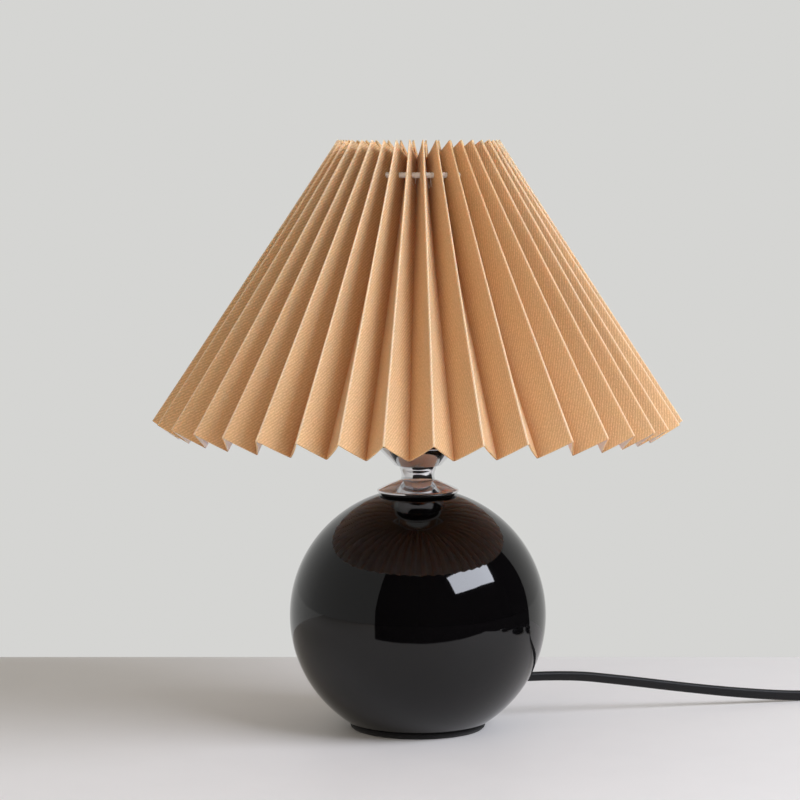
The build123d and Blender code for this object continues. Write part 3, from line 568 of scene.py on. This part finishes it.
neck = {
    "gasketBottom": 125.12, "gasketTop": 126.32, "gasketRadius": 19.6,
    "capRadius": 21.7, "capRim": 127.62, "capTop": 132.92, "crown": 9.2, "bulge": 0.15,
    "waist": 8.8, "waistHeight": 135.52, "bead": 9.7, "beadBottom": 138.82, "top": 140.42,
    "cupFloor": 12.2, "cupRim": 22.0, "cupTop": 151.02, "cupWall": 1.0, "cupLip": 0.6, "bore": 5.3,
    "edge": 0.35, "gasketEdge": 0.4, "cupEdge": 0.22, "turns": 128,
}


def bowed(start, middle, end, count=10):
    # even points on the curve through three points of an outline
    points = []
    for step in range(count + 1):
        t = step / count
        first, second, third = 2 * (t - 0.5) * (t - 1), -4 * t * (t - 1), 2 * t * (t - 0.5)
        points.append((
            start[0] * first + middle[0] * second + end[0] * third,
            start[1] * first + middle[1] * second + end[1] * third,
        ))
    return points


gasket = spun("capGasket", squareSection(
    neck["bore"], neck["gasketRadius"], neck["gasketBottom"], neck["gasketTop"]
))
settle(softened(gasket, neck["gasketEdge"]), rubber, "lamp", "rubber", "cap_gasket")

capMiddle = ((neck["crown"] + neck["capRadius"]) / 2, (neck["capTop"] + neck["capRim"]) / 2 + neck["bulge"])
capSlope = bowed((neck["capRadius"], neck["capRim"]), capMiddle, (neck["crown"], neck["capTop"]))
plateCap = spun("plateCap", [
    (neck["bore"], neck["gasketTop"]), (neck["capRadius"], neck["gasketTop"]), *capSlope,
    (neck["bore"], neck["capTop"]),
], neck["turns"])
settle(softened(plateCap, neck["edge"]), chrome, "lamp", "chrome", "vase_cap")

waist = bowed(
    (neck["crown"], neck["capTop"]), (neck["waist"], neck["waistHeight"]), (neck["bead"], neck["beadBottom"])
)
spool = spun("neckSpool", [
    (neck["bore"], neck["capTop"]), *waist, (neck["bead"], neck["top"]), (neck["bore"], neck["top"]),
])
settle(softened(spool, neck["edge"]), chrome, "lamp", "chrome", "neck_spacer")

cupFlare = neck["cupWall"] * math.tan(math.pi / 8)
cupInside, cupLip = neck["cupRim"] - neck["cupWall"], neck["cupTop"] - neck["cupLip"]
cupFloor = neck["top"] + neck["cupWall"]
cup = spun("holderCup", [
    (neck["bore"], neck["top"]), (neck["cupFloor"], neck["top"]), (neck["cupRim"], cupLip),
    (neck["cupRim"], neck["cupTop"]), (cupInside, neck["cupTop"]), (cupInside, cupLip),
    (neck["cupFloor"] - cupFlare, cupFloor), (neck["bore"], cupFloor),
], neck["turns"])
settle(softened(cup, neck["cupEdge"], segments=2), chrome, "lamp", "chrome", "holder_cup")
print("neck turned")


# pleated shade, cut from one strip and folded

shade = {
    "pleats": 38, "phase": 3.2, "topRadius": 42.2, "bottomRadius": 140.0, "top": 312.0, "foldHeight": 146.7,
    "faceWidth": 19.3, "cloth": 0.8, "foldSoftness": 0.9, "foldSteps": 4, "faceSteps": 8, "rows": 30,
    "frontFolds": [-74.7, -63.8, -53.5, -44.3, -34.9, -25.5, -16.3, -7.2, 2.8,
                   12.8, 22.1, 32.3, 41.9, 50.0, 58.1, 65.1, 75.1],
    "bearingPlay": 0.3, "topPlay": 0.7, "bottomPlay": 0.8, "faceSag": 1.0, "sagPlay": 0.35, "seed": 11,
    # the first number below sets the painted shade on the faces towards each inner fold
    "valleyShadeOnFaces": 0.55, "smoothAngle": 50,
    "sagDown": [(0.0, 0.2), (0.6, 1.0), (1.0, 0.3)],  # share of the way down, share of the sag
}


def foldDepth(outerRadius):
    closing = outerRadius * (1 - math.cos(math.pi / shade["pleats"]))
    slant = math.atan((shade["bottomRadius"] - shade["topRadius"]) / shade["foldHeight"])
    lean = closing * math.cos(slant)
    return lean + math.sqrt(lean ** 2 + shade["faceWidth"] ** 2 - 2 * outerRadius * closing)


def foldBearings():
    # bearing of every outer fold at the hem and at the top, to the right of the front
    front, pleats = shade["frontFolds"], shade["pleats"]
    gaps = pleats - len(front) + 1
    step = (360 + front[0] - front[-1]) / gaps
    hem = front + [front[-1] + step * number for number in range(1, gaps)]
    first = shade["phase"] - 360 / pleats * (len(front) // 2)
    top = [first + number * 360 / pleats for number in range(pleats)]
    return hem, top


def foldLines():
    # top and hem point of every fold, outer and inner in turn, with the play of a hand-folded strip
    draw = random.Random(shade["seed"])
    slant = math.atan((shade["bottomRadius"] - shade["topRadius"]) / shade["foldHeight"])
    topDepth, bottomDepth = foldDepth(shade["topRadius"]), foldDepth(shade["bottomRadius"])
    bottom = shade["top"] - shade["foldHeight"]
    hemBearings, topBearings = foldBearings()
    lines = []
    for fold in range(2 * shade["pleats"]):
        inward = fold % 2
        ends = []
        for bearings, radius, depth, height, play in (
            (topBearings, shade["topRadius"], topDepth, shade["top"], shade["topPlay"]),
            (hemBearings, shade["bottomRadius"], bottomDepth, bottom, shade["bottomPlay"]),
        ):
            bearing = bearings[fold // 2]
            if inward:
                after = bearings[(fold // 2 + 1) % shade["pleats"]]
                bearing += ((after - bearing) % 360) / 2 + draw.uniform(-1, 1) * shade["bearingPlay"]
            turn = math.radians(bearing - 90)
            radius += draw.uniform(-1, 0.4) * play - inward * depth * math.cos(slant)
            height -= inward * depth * math.sin(slant)
            ends.append(Vector((radius * math.cos(turn), radius * math.sin(turn), height)))
        lines.append((*ends, draw.uniform(-1, 1)))
    return lines


def clothMesh(name):
    lines = foldLines()
    folds = len(lines)
    soft, foldSteps, faceSteps = shade["foldSoftness"], shade["foldSteps"], shade["faceSteps"]
    rows, width, valleyShade = shade["rows"], shade["faceWidth"], shade["valleyShadeOnFaces"]
    foldLength = (lines[0][1] - lines[0][0]).length
    verts, columns, foldHighlightWearShade = [], [], []
    for row in range(rows + 1):
        down = row / rows
        corners = [top.lerp(end, down) for top, end, bow in lines]
        for fold in range(folds):
            corner = corners[fold]
            backward = (corners[fold - 1] - corner).normalized()
            forward = (corners[(fold + 1) % folds] - corner).normalized()
            side = 1 if fold % 2 == 0 else -1
            for step in range(foldSteps + 1):
                t = step / foldSteps
                place = corner + backward * soft * (1 - t) ** 2 + forward * soft * t ** 2
                verts.append(place * mm)
                # painted light in the fold attribute: outer folds get a painted highlight with some wear,
                # inner folds a painted shade
                bent = 1 - abs(2 * t - 1)
                foldHighlightWearShade.append(bent if side > 0 else -valleyShade - (1 - valleyShade) * bent)
                if row == 0:
                    columns.append((fold * width + soft * (2 * t - 1)) * mm)
            start = corner + forward * soft
            after = corners[(fold + 1) % folds]
            end = after - forward * soft
            across = forward.cross((lines[fold][1] - lines[fold][0]).normalized())
            bow = (shade["faceSag"] + lines[fold][2] * shade["sagPlay"]) * between(shade["sagDown"], down)
            for step in range(1, faceSteps):
                t = step / faceSteps
                place = start.lerp(end, t) + across * bow * math.sin(math.pi * t)
                verts.append(place * mm)
                inward = t if side > 0 else 1 - t
                # painted shade: each face darkens towards its inner fold
                foldHighlightWearShade.append(-valleyShade * inward ** 4)
                if row == 0:
                    columns.append((fold * width + soft + (width - 2 * soft) * t) * mm)
    count = len(columns)
    columns.append(folds * width * mm + columns[0])
    faces = []
    for row in range(rows):
        for column in range(count):
            low, after = row * count, (column + 1) % count
            faces.append((low + column, low + count + column, low + count + after, low + after))
    mesh = bpy.data.meshes.new(name)
    mesh.from_pydata(verts, [], faces)
    uvLayer = mesh.uv_layers.new(name="strip")
    for index, face in enumerate(mesh.polygons):
        row, column = divmod(index, count)
        corners = ((column, row), (column, row + 1), (column + 1, row + 1), (column + 1, row))
        for loop, (u, v) in zip(face.loop_indices, corners):
            uvLayer.data[loop].uv = (columns[u], v / rows * foldLength * mm)
    mark = mesh.attributes.new("foldHighlightWearShade", "FLOAT", "POINT")
    mark.data.foreach_set("value", foldHighlightWearShade)
    return mesh


clothDepth = {"Subsurface Weight": 0.7, "Subsurface Radius": (2.4, 1.2, 0.55), "Subsurface Scale": 0.001}
weave = {
    "wanderScale": 380.0, "wander": 6.0, "grainScale": 1000.0, "thread": 0.0005,
    "twillAcross": 0.0016, "twillDown": 0.0025, "slub": (260.0, 1500.0, 1.0), "warp": (1500.0, 260.0, 1.0),
    "dark": (0.355, 0.190, 0.066, 1), "light": (0.980, 0.678, 0.397, 1), "cloudScale": 14.0,
    # the crest colour is a painted highlight with some wear on the outer folds; the valley colour is painted
    # shade in the inner folds
    "aged": (0.65, 0.418, 0.213, 1), "crestHighlightAndWear": (0.94, 0.83, 0.66, 1), "valleyShadeColour": (0.29, 0.104, 0.025, 1),
    "agedShare": 0.20, "crestHighlightAndWearShare": 0.45, "valleyShadeShare": 0.93, "relief": 0.00006,
}
backing = {
    "fibre": (900.0, 900.0, 1.0), "dark": (0.78, 0.715, 0.68, 1), "light": (0.82, 0.76, 0.725, 1),
    # the inside colour is a painted tan for light through the linen and the shade inside the lamp shade; the
    # next number sets how it fades from the top towards the hem
    "inside": (0.74, 0.53, 0.36, 1), "paintedThroughLightReach": 0.19, "relief": 0.00004,
}


def linenFinish():
    linen = Finish("linen", {
        "Specular IOR Level": 0.15, "Sheen Weight": 0.13, "Sheen Roughness": 0.45, **clothDepth,
    })
    linen.shader.subsurface_method = "BURLEY"
    strip = linen.where("UV")
    across, down = linen.split(strip, "X"), linen.split(strip, "Y")
    wander = linen.noise(strip, weave["wanderScale"]) * weave["wander"]
    grain = linen.noise(strip, weave["grainScale"], rough=0.6) * 2.0 - 0.5
    slope = across * (2 * math.pi / weave["twillAcross"]) + down * (2 * math.pi / weave["twillDown"])
    twill = (slope + wander).sine() * (grain + 0.1) * 0.6 + 0.5
    threads = across.ripple(weave["thread"]) * down.ripple(weave["thread"]) * 0.5 + 0.5
    slub, warp = (linen.noise(linen.stretched(strip, weave[way]), 1.0, 3.0, 0.65) for way in ("slub", "warp"))
    cloud = linen.noise(strip, weave["cloudScale"], detail=3.0)
    fold = linen.add("Attribute", {"attribute_name": "foldHighlightWearShade"}, {}, "Fac")
    tone = twill * 0.33 + threads * 0.07 + slub * 0.17 + warp * 0.13 + grain * 0.30
    body = linen.blendColour(tone, weave["dark"], weave["light"])
    aged = linen.blendColour(cloud * weave["agedShare"], body, weave["aged"])
    # painted highlight with some wear along the outer folds
    crestHighlightAndWear = linen.blendColour(fold.atLeast(0.0) * weave["crestHighlightAndWearShare"], aged, weave["crestHighlightAndWear"])
    # painted shade in the inner folds and on the faces near them
    valleyShade = (fold * -1.0).atLeast(0.0) * weave["valleyShadeShare"]
    linen.feed("Base Color", linen.blendColour(valleyShade, crestHighlightAndWear, weave["valleyShadeColour"]))
    linen.feed("Roughness", slub * 0.2 + 0.72)
    linen.bump(twill * 0.7 + grain * 0.4 + threads * 0.4 + slub * 0.4 + warp * 0.4, weave["relief"])
    return linen


def liningFinish():
    lining = Finish("lining", {"Specular IOR Level": 0.2, **clothDepth})
    lining.shader.subsurface_method = "BURLEY"
    strip = lining.where("UV")
    fibre = lining.noise(lining.stretched(strip, backing["fibre"]), 1.0, detail=3.0)
    cloth = lining.blendColour(fibre, backing["dark"], backing["light"])
    # painted light: the lining turns tan away from the hem, for light coming through the linen and shade
    # inside
    paintedThroughLight = (1.0 - lining.split(strip, "Y") * (1 / backing["paintedThroughLightReach"])).atLeast(0.0)
    lining.feed("Base Color", lining.blendColour(paintedThroughLight, cloth, backing["inside"]))
    lining.feed("Roughness", fibre * 0.2 + 0.62)
    lining.bump(fibre, backing["relief"])
    return lining


linen, lining = linenFinish(), liningFinish()
pleatedShade = addPiece("pleatedShade", clothMesh("pleatedShade"))
pickOnly(pleatedShade)
pleatedShade.data.materials.append(linen.material)
pleatedShade.data.materials.append(lining.material)
cloth = pleatedShade.modifiers.new("cloth", "SOLIDIFY")
cloth.thickness = shade["cloth"] * mm
cloth.offset = 0
cloth.use_even_offset = True
cloth.material_offset = 1
cloth.material_offset_rim = 0
bpy.ops.object.modifier_apply(modifier=cloth.name)
smoothed(pleatedShade, shade["smoothAngle"])
settle(pleatedShade, None, "shade", "linen", "pleated_shade")
print("shade folded")


# cord that gathers the pleats near the top

gather = {"ring": 41.6, "height": 294.1, "strand": 1.0, "spread": 0.62, "twists": 84, "pointsPerTwist": 8}
hairs = {
    "count": 7, "radius": 0.07, "seed": 5, "bearings": (7.5, -2.0, -2.0), "bearingPlay": 3.0, "points": 6,
    "shortest": 3.0, "longest": 6.5, "curl": 1.2, "stand": 0.8, "spread": 1.1, "drop": 0.6,
}


def strandCurve(name, places, radius, cyclic):
    curve, spline = curveThrough(name, "POLY", [Vector(place) * mm for place in places])
    curve.bevel_depth = radius * mm
    curve.bevel_resolution = 2
    spline.use_cyclic_u = cyclic
    strand = addPiece(name, curve)
    pickOnly(strand)
    bpy.ops.object.convert(target="MESH")
    return bpy.context.object


def joined(name, pieces):
    bpy.ops.object.select_all(action="DESELECT")
    for piece in pieces:
        piece.select_set(True)
    bpy.context.view_layer.objects.active = pieces[0]
    bpy.ops.object.join()
    pieces[0].name = name
    return pieces[0]


def gatherStrand(number):
    places = []
    count = gather["twists"] * gather["pointsPerTwist"]
    for step in range(count):
        bearing = 2 * math.pi * step / count
        lay = bearing * gather["twists"] + number * math.pi
        radius = gather["ring"] + gather["spread"] * math.cos(lay)
        height = gather["height"] + gather["spread"] * math.sin(lay)
        places.append((radius * math.cos(bearing), radius * math.sin(bearing), height))
    return strandCurve(f"strand{number}", places, gather["strand"], True)


def gatherHairs():
    draw = random.Random(hairs["seed"])
    pieces = []
    for number in range(hairs["count"]):
        front = hairs["bearings"][number % 3] - 90
        bearing = math.radians(front + draw.uniform(-hairs["bearingPlay"], hairs["bearingPlay"]))
        length = draw.uniform(hairs["shortest"], hairs["longest"])
        curl = draw.uniform(-hairs["curl"], hairs["curl"])
        places = []
        for step in range(hairs["points"]):
            t = step / (hairs["points"] - 1)
            radius = gather["ring"] + hairs["stand"] + hairs["spread"] * t
            turn = bearing + curl * t * t / gather["ring"]
            height = gather["height"] - hairs["drop"] - length * t
            places.append((radius * math.cos(turn), radius * math.sin(turn), height))
        pieces.append(strandCurve(f"hair{number}", places, hairs["radius"], False))
    return pieces


cottonLook = {
    "fibreScale": 1500, "dark": (0.86, 0.855, 0.85, 1), "light": (0.96, 0.955, 0.95, 1), "relief": 0.0001,
}


def cottonFinish():
    cotton = Finish("cotton", {"Specular IOR Level": 0.15, "Sheen Weight": 0.2})
    fibre = cotton.noise(cotton.where(), cottonLook["fibreScale"], detail=4.0)
    cotton.feed("Base Color", cotton.blendColour(fibre, cottonLook["dark"], cottonLook["light"]))
    cotton.feed("Roughness", fibre * 0.2 + 0.75)
    cotton.bump(fibre, cottonLook["relief"])
    return cotton


gatherCord = joined("gatherCord", [gatherStrand(0), gatherStrand(1)] + gatherHairs())
smoothed(gatherCord, angle=60)
settle(gatherCord, cottonFinish(), "shade", "cotton", "gather_cord")
print("gathering cord threaded")


# lamp holder and bulb

holder = {
    "radius": 19.5, "bottom": 141.44, "floorRadius": 11.3, "coneTop": 150.2, "baseTop": 168.04, "bore": 16.7,
    "hole": 5.15, "roomRadius": 14.5, "roomFloor": 150.04, "rimHeight": 9.0, "rimEdge": 0.5, "edge": 0.3,
    "shoulder": 24.0, "shoulderBottom": 179.04, "shoulderTop": 181.04, "sleeveTop": 198.04,
    "sleeveBore": 15.6, "boreStep": 170.34,
    "threadBottom": 182.0, "threadTop": 197.6, "threadPitch": 2.6, "threadDepth": 0.7,
}
nutRing = {"bottom": 183.34, "top": 190.84, "radius": 23.2, "bore": 19.65, "edge": 0.5, "turns": 72,
           "ribs": 36, "ribRadius": 0.75, "ribEdge": 0.25, "ribSides": 10, "ribShorter": 1.2}
ridge = ((0.0, 1.0), (0.2, 0.45), (0.38, 0.0), (0.62, 0.0), (0.8, 0.45))  # share of the pitch, of the depth

rimFloor = holder["baseTop"] - holder["rimHeight"]
moulding = spun("holderBase", [
    (holder["hole"], holder["bottom"]), (holder["floorRadius"], holder["bottom"]),
    (holder["radius"], holder["coneTop"]), (holder["radius"], holder["baseTop"] - holder["rimEdge"]),
    (holder["radius"] - holder["rimEdge"], holder["baseTop"]), (holder["bore"], holder["baseTop"]),
    (holder["bore"], rimFloor), (holder["roomRadius"], rimFloor),
    (holder["roomRadius"], holder["roomFloor"]), (holder["hole"], holder["roomFloor"]),
])
settle(softened(moulding, holder["edge"], segments=2), holderPlastic, "lamp", "black_plastic", "holder_base")


def threaded(radius, depth, pitch, bottom, top):
    # rounded ridges up an outline
    points, height = [], bottom
    while height + pitch <= top:
        for share, dip in ridge:
            points.append((radius - depth * dip, height + share * pitch))
        height += pitch
    return points + [(radius - depth, min(height, top))]


sleeveThread = threaded(
    holder["radius"], holder["threadDepth"], holder["threadPitch"],
    holder["threadBottom"], holder["threadTop"],
)
sleeve = spun("holderSleeve", [
    (holder["bore"], holder["baseTop"]), (holder["radius"], holder["baseTop"]),
    (holder["radius"], holder["shoulderBottom"]), (holder["shoulder"], holder["shoulderBottom"]),
    (holder["shoulder"], holder["shoulderTop"]), (holder["radius"], holder["shoulderTop"]), *sleeveThread,
    (holder["radius"] - holder["threadDepth"], holder["sleeveTop"]),
    (holder["sleeveBore"], holder["sleeveTop"]),
    (holder["sleeveBore"], holder["boreStep"]), (holder["bore"], holder["boreStep"]),
])
settle(smoothed(sleeve, angle=32), holderPlastic, "lamp", "black_plastic", "holder_sleeve")


def ribbedNut():
    section = squareSection(nutRing["bore"], nutRing["radius"], nutRing["bottom"], nutRing["top"])
    body = softened(spun("ringNut", section, nutRing["turns"]), nutRing["edge"])
    bpy.ops.object.select_all(action="DESELECT")
    bpy.ops.mesh.primitive_cylinder_add(
        vertices=nutRing["ribSides"], radius=nutRing["ribRadius"] * mm,
        depth=(nutRing["top"] - nutRing["bottom"] - nutRing["ribShorter"]) * mm,
        location=(nutRing["radius"] * mm, 0, (nutRing["bottom"] + nutRing["top"]) / 2 * mm),
    )
    rib = softened(bpy.context.object, nutRing["ribEdge"], segments=2, angle=60)
    bpy.ops.object.transform_apply()
    ribs = [rib]
    for number in range(1, nutRing["ribs"]):
        copy = addPiece(f"rib{number}", rib.data.copy())
        copy.rotation_euler = (0, 0, 2 * math.pi * number / nutRing["ribs"])
        pickOnly(copy)
        bpy.ops.object.transform_apply()
        ribs.append(copy)
    return smoothed(joined("ringNut", [body] + ribs), angle=40)


settle(ribbedNut(), holderPlastic, "lamp", "black_plastic", "ring_nut")

bulb = {
    "capBottom": 178.59, "capTop": 197.09, "capRadius": 13.05, "capDepth": 0.9, "capPitch": 3.6,
    "hole": 5.8, "footInset": 1.4, "innerInset": 1.6, "capFloor": 0.5, "capWall": 0.4,
    "threadStart": 0.3, "threadEnd": 0.2, "plugPlay": 0.55, "plugDepth": 6.2, "flare": (17.1, 203.6),
    "housingTop": 212.09, "housingRadius": 20.0, "domeRadius": 22.5, "wall": 1.2,
    "domeRows": 40, "innerRows": 30,
}
capThread = threaded(
    bulb["capRadius"], bulb["capDepth"], bulb["capPitch"],
    bulb["capBottom"] + bulb["threadStart"], bulb["capTop"] - bulb["threadEnd"],
)
capFloor = bulb["capBottom"] + bulb["capFloor"]
screwCap = spun("bulbScrewCap", [
    (bulb["hole"], bulb["capBottom"]), (bulb["capRadius"] - bulb["footInset"], bulb["capBottom"]), *capThread,
    (bulb["capRadius"], bulb["capTop"]), (bulb["capRadius"] - bulb["capWall"], bulb["capTop"]),
    (bulb["capRadius"] - bulb["innerInset"], capFloor), (bulb["hole"], capFloor),
])
settle(smoothed(screwCap, angle=40), bulbMetal, "bulb_base", "bulb_metal", "bulb_cap")

plugRadius, plugBottom = bulb["capRadius"] - bulb["plugPlay"], bulb["capTop"] - bulb["plugDepth"]
flare = bowed((bulb["capRadius"], bulb["capTop"]), bulb["flare"], (bulb["housingRadius"], bulb["housingTop"]))
housing = spun("bulbHousing", [
    (plugRadius, plugBottom), (plugRadius, bulb["capTop"]), *flare,
    (bulb["housingRadius"] - bulb["wall"], bulb["housingTop"]), (plugRadius - bulb["wall"], bulb["capTop"]),
    (plugRadius - bulb["wall"], plugBottom),
])
settle(smoothed(housing, angle=35), whitePlastic, "bulb_base", "white_plastic", "bulb_housing")

domeCentre = bulb["housingTop"] + math.sqrt(bulb["domeRadius"] ** 2 - bulb["housingRadius"] ** 2)


def domeArc(radius, rows):
    start = math.asin((bulb["housingTop"] - domeCentre) / radius)
    turns = [start + (math.pi / 2 - start) * row / rows for row in range(rows + 1)]
    return [(max(radius * math.cos(t), 0.0), domeCentre + radius * math.sin(t)) for t in turns]


domeInside = domeArc(bulb["domeRadius"] - bulb["wall"], bulb["innerRows"])
dome = spun("bulbDome", domeArc(bulb["domeRadius"], bulb["domeRows"]) + domeInside[::-1])
settle(smoothed(dome, angle=35), opalDome, "bulb_shell", "opal", "bulb_dome")
print("holder and bulb made")


# strap round the coil

strap = {
    "thickness": 0.9, "corner": 3.2, "cornerSteps": 6, "width": 14.0,
    "tail": 9.0, "tailShift": 1.5, "tailThickness": 0.7, "tailNarrower": 0.6, "tailEdge": 0.3,
}


def strapPiece():
    low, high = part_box("coil_tie")
    middle, size = (low + high) / 2, high - low
    bpy.ops.object.select_all(action="DESELECT")
    bpy.ops.mesh.primitive_cube_add(size=1, location=middle)
    loop = bpy.context.object
    loop.scale = size
    bpy.ops.object.transform_apply()
    for face in loop.data.polygons:
        face.select = abs(face.normal.y) > 0.9
    bpy.ops.object.mode_set(mode="EDIT")
    bpy.ops.mesh.select_mode(type="FACE")
    bpy.ops.mesh.delete(type="ONLY_FACE")
    bpy.ops.object.mode_set(mode="OBJECT")
    for edge in loop.data.edges:
        first, second = (loop.data.vertices[v].co for v in edge.vertices)
        edge.select = abs(first.y - second.y) > size.y / 2
    bpy.ops.object.mode_set(mode="EDIT")
    bpy.ops.mesh.select_mode(type="EDGE")
    bpy.ops.mesh.bevel(offset=strap["corner"] * mm, segments=strap["cornerSteps"], affect="EDGES")
    bpy.ops.object.mode_set(mode="OBJECT")
    web = loop.modifiers.new("web", "SOLIDIFY")
    web.thickness = strap["thickness"] * mm
    web.offset = -1
    bpy.ops.object.modifier_apply(modifier=web.name)
    tailPlace = (middle.x + strap["tailShift"] * mm, middle.y, high.z + strap["tailThickness"] / 2 * mm)
    bpy.ops.object.select_all(action="DESELECT")
    bpy.ops.mesh.primitive_cube_add(size=1, location=tailPlace)
    tail = bpy.context.object
    tailSize = (strap["tail"], strap["width"] - strap["tailNarrower"], strap["tailThickness"])
    tail.scale = Vector(tailSize) * mm
    bpy.ops.object.transform_apply()
    softened(tail, strap["tailEdge"], segments=2)
    return smoothed(joined("coilStrap", [loop, tail]), angle=35)


webbing = {
    "ribs": 0.0009, "picks": 0.0012, "fuzzScale": 1600, "relief": 0.00015,
    "dark": (0.008, 0.008, 0.009, 1), "light": (0.034, 0.033, 0.034, 1),
}


def strapFinish():
    web = Finish("strapWeb", {"Specular IOR Level": 0.2, "Sheen Weight": 0.2})
    place = web.where()
    ribs = web.split(place, "Y").ripple(webbing["ribs"]) * web.split(place, "X").ripple(webbing["picks"])
    ribs = ribs * 0.5 + 0.5
    fuzz = web.noise(place, webbing["fuzzScale"], detail=3.0)
    web.feed("Base Color", web.blendColour(ribs * 0.6 + fuzz * 0.4, webbing["dark"], webbing["light"]))
    web.feed("Roughness", fuzz * 0.2 + 0.7)
    web.bump(ribs + fuzz * 0.5, webbing["relief"])
    return web


coilStrap = settle(strapPiece(), strapFinish(), "lamp", "tie", "coil_tie")
print("coil strapped")


# finishes of the solids that stay as they are

solidFinishes = {
    zincSteel: ["base_plate", "threaded_nipple", "steel_washer", "hex_nut",
                "switch_screw_1", "switch_screw_2"],
    rubber: ["soft_washer", "switch_sleeve_in", "switch_sleeve_out", "plug_relief"],
    leadPlastic: ["switch_base", "switch_cover", "plug_body", "lead_collar"],
    rockerPlastic: ["switch_rocker"],
    brass: ["screw_shell", "centre_contact", "terminal_1", "terminal_2", "switch_contact", "bulb_tip"],
    porcelain: ["holder_insert"],
    blackGlass: ["bulb_insulator"],
    whiteWire: ["fitter_ring", "carrier_ring", "carrier_arm_1", "carrier_arm_2", "carrier_arm_3"],
    leadSheath: ["inner_lead"],
    coreBrown: ["core_1"],
    coreBlue: ["core_2"],
    pinMetal: ["plug_pin_1", "plug_pin_2"],
}
for finish, names in solidFinishes.items():
    for name in names:
        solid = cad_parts[name]
        solid.data.materials.clear()
        solid.data.materials.append(finish.material)
print("solids finished")


# table, backdrop and light

room = {"wall": (0.665, 0.665, 0.650), "table": (0.880, 0.857, 0.846), "tableEdge": 0.205, "size": 8.0,
        "fill": (1.0, 0.96, 0.89), "fillBehind": 0.50, "fillFront": 0.24, "dullRoom": 0.68, "dullFrom": 0.3,
        "tableShade": 0.97, "grainScale": 40, "rough": (0.45, 0.60), "roughScale": 18}
lights = {
    "window": {"place": (1.417, -0.868, 1.22), "size": (1.52, 0.58), "watts": 34.2,
               "colour": (0.95, 0.99, 1.10), "inGloss": True},
    "leftFill": {"place": (-0.86, -1.64, 0.75), "size": (1.4, 1.8), "watts": 8.4,
                 "colour": (1.0, 0.90, 0.77), "inGloss": False},
}


def tableFinish():
    table = Finish("paleTable", {"Specular IOR Level": 0.2})
    place = table.where()
    grain = table.noise(place, room["grainScale"], detail=3.0)
    paint = tuple(room["tableShade"] * tone for tone in room["table"])
    table.feed("Base Color", table.blendColour(grain, (*paint, 1), (*room["table"], 1)))
    table.uneven(place, room)
    beyond = table.split(place, "Y") > room["tableEdge"]
    glow = table.add("Emission", {}, {"Color": (*room["wall"], 1), "Strength": 1.0})
    mixed = table.add("MixShader", {}, [beyond, Value(table, table.shader.outputs[0]), glow])
    table.tree.links.new(mixed.socket, table.tree.nodes["Material Output"].inputs["Surface"])
    return table


bpy.ops.object.select_all(action="DESELECT")
bpy.ops.mesh.primitive_plane_add(size=room["size"], location=(0, 0, 0))
floor = bpy.context.object
floor.name = "floor"
floor.data.materials.append(tableFinish().material)

# dim side of the room, from the table's edges out and up: it shows only in gloss

dimSide = {"tableEdge": [(-0.17, -0.25), (0.12, -0.25), (0.39, -0.25), (0.39, 0.0), (0.36, 0.13)],
           "bearings": [-128, -90, -40, 0, 26], "reach": 3.0, "lift": 0.002, "height": 2.9,
           "tone": (0.022, 0.020, 0.020)}


def dimSideMesh():
    verts, faces = [], []
    for (x, y), bearing in zip(dimSide["tableEdge"], dimSide["bearings"]):
        turn = math.radians(bearing)
        farX, farY = dimSide["reach"] * math.cos(turn), dimSide["reach"] * math.sin(turn)
        verts += [(x, y, dimSide["lift"]), (farX, farY, dimSide["lift"]), (farX, farY, dimSide["height"])]
    for low in range(0, len(verts) - 3, 3):
        faces += [(low, low + 3, low + 4, low + 1), (low + 1, low + 4, low + 5, low + 2)]
    mesh = bpy.data.meshes.new("dimSide")
    mesh.from_pydata(verts, [], faces)
    return mesh


screen = addPiece("dimSide", dimSideMesh())
dim = Finish("dimSide", {"Base Color": (*dimSide["tone"], 1), "Roughness": 1.0, "Specular IOR Level": 0.0})
screen.data.materials.append(dim.material)
screen.visible_camera = False
screen.visible_diffuse = False
screen.visible_shadow = False

world = bpy.data.worlds.new("paleRoom")
scene.world = world
world.use_nodes = True
sky = Nodes(world.node_tree)
sky.tree.nodes.clear()
gloss, view, through = (
    sky.add("LightPath", {}, {}, f"Is {ray} Ray") for ray in ("Glossy", "Camera", "Transmission")
)
seen = view.atLeast(gloss).atLeast(through)
depth = sky.add("SeparateXYZ", {}, [sky.add("TexCoord", {}, {}, "Generated")], "Y")
# in gloss the room is duller away from the pale wall
dull = sky.add("MapRange", {}, {"Value": depth, "From Min": room["dullFrom"], "To Min": room["dullRoom"]})
wallLight = sky.add("Mix", {}, {"Factor": gloss, "A": 1.0, "B": dull})
backdrop = sky.add("Background", {}, {"Color": (*room["wall"], 1), "Strength": wallLight})
# more fill comes from the pale wall behind than from the front
fillRange = {"From Min": -1.0, "To Min": room["fillFront"], "To Max": room["fillBehind"]}
fillLight = sky.add("MapRange", {}, {"Value": depth, **fillRange})
ambient = sky.add("Background", {}, {"Color": (*room["fill"], 1), "Strength": fillLight})
chosen = sky.add("MixShader", {}, [seen, ambient, backdrop])
sky.add("OutputWorld", {}, {"Surface": chosen})

lampMiddle = Vector((0, 0, 0.16))
for name, look in lights.items():
    data = bpy.data.lights.new(name, "AREA")
    data.shape = "RECTANGLE"
    data.size, data.size_y = look["size"]
    data.energy = look["watts"]
    data.color = look["colour"]
    light = addPiece(name, data)
    light.location = look["place"]
    light.visible_glossy = look["inGloss"]
    light.rotation_euler = (lampMiddle - Vector(look["place"])).to_track_quat("-Z", "Y").to_euler()
print("table and light set")
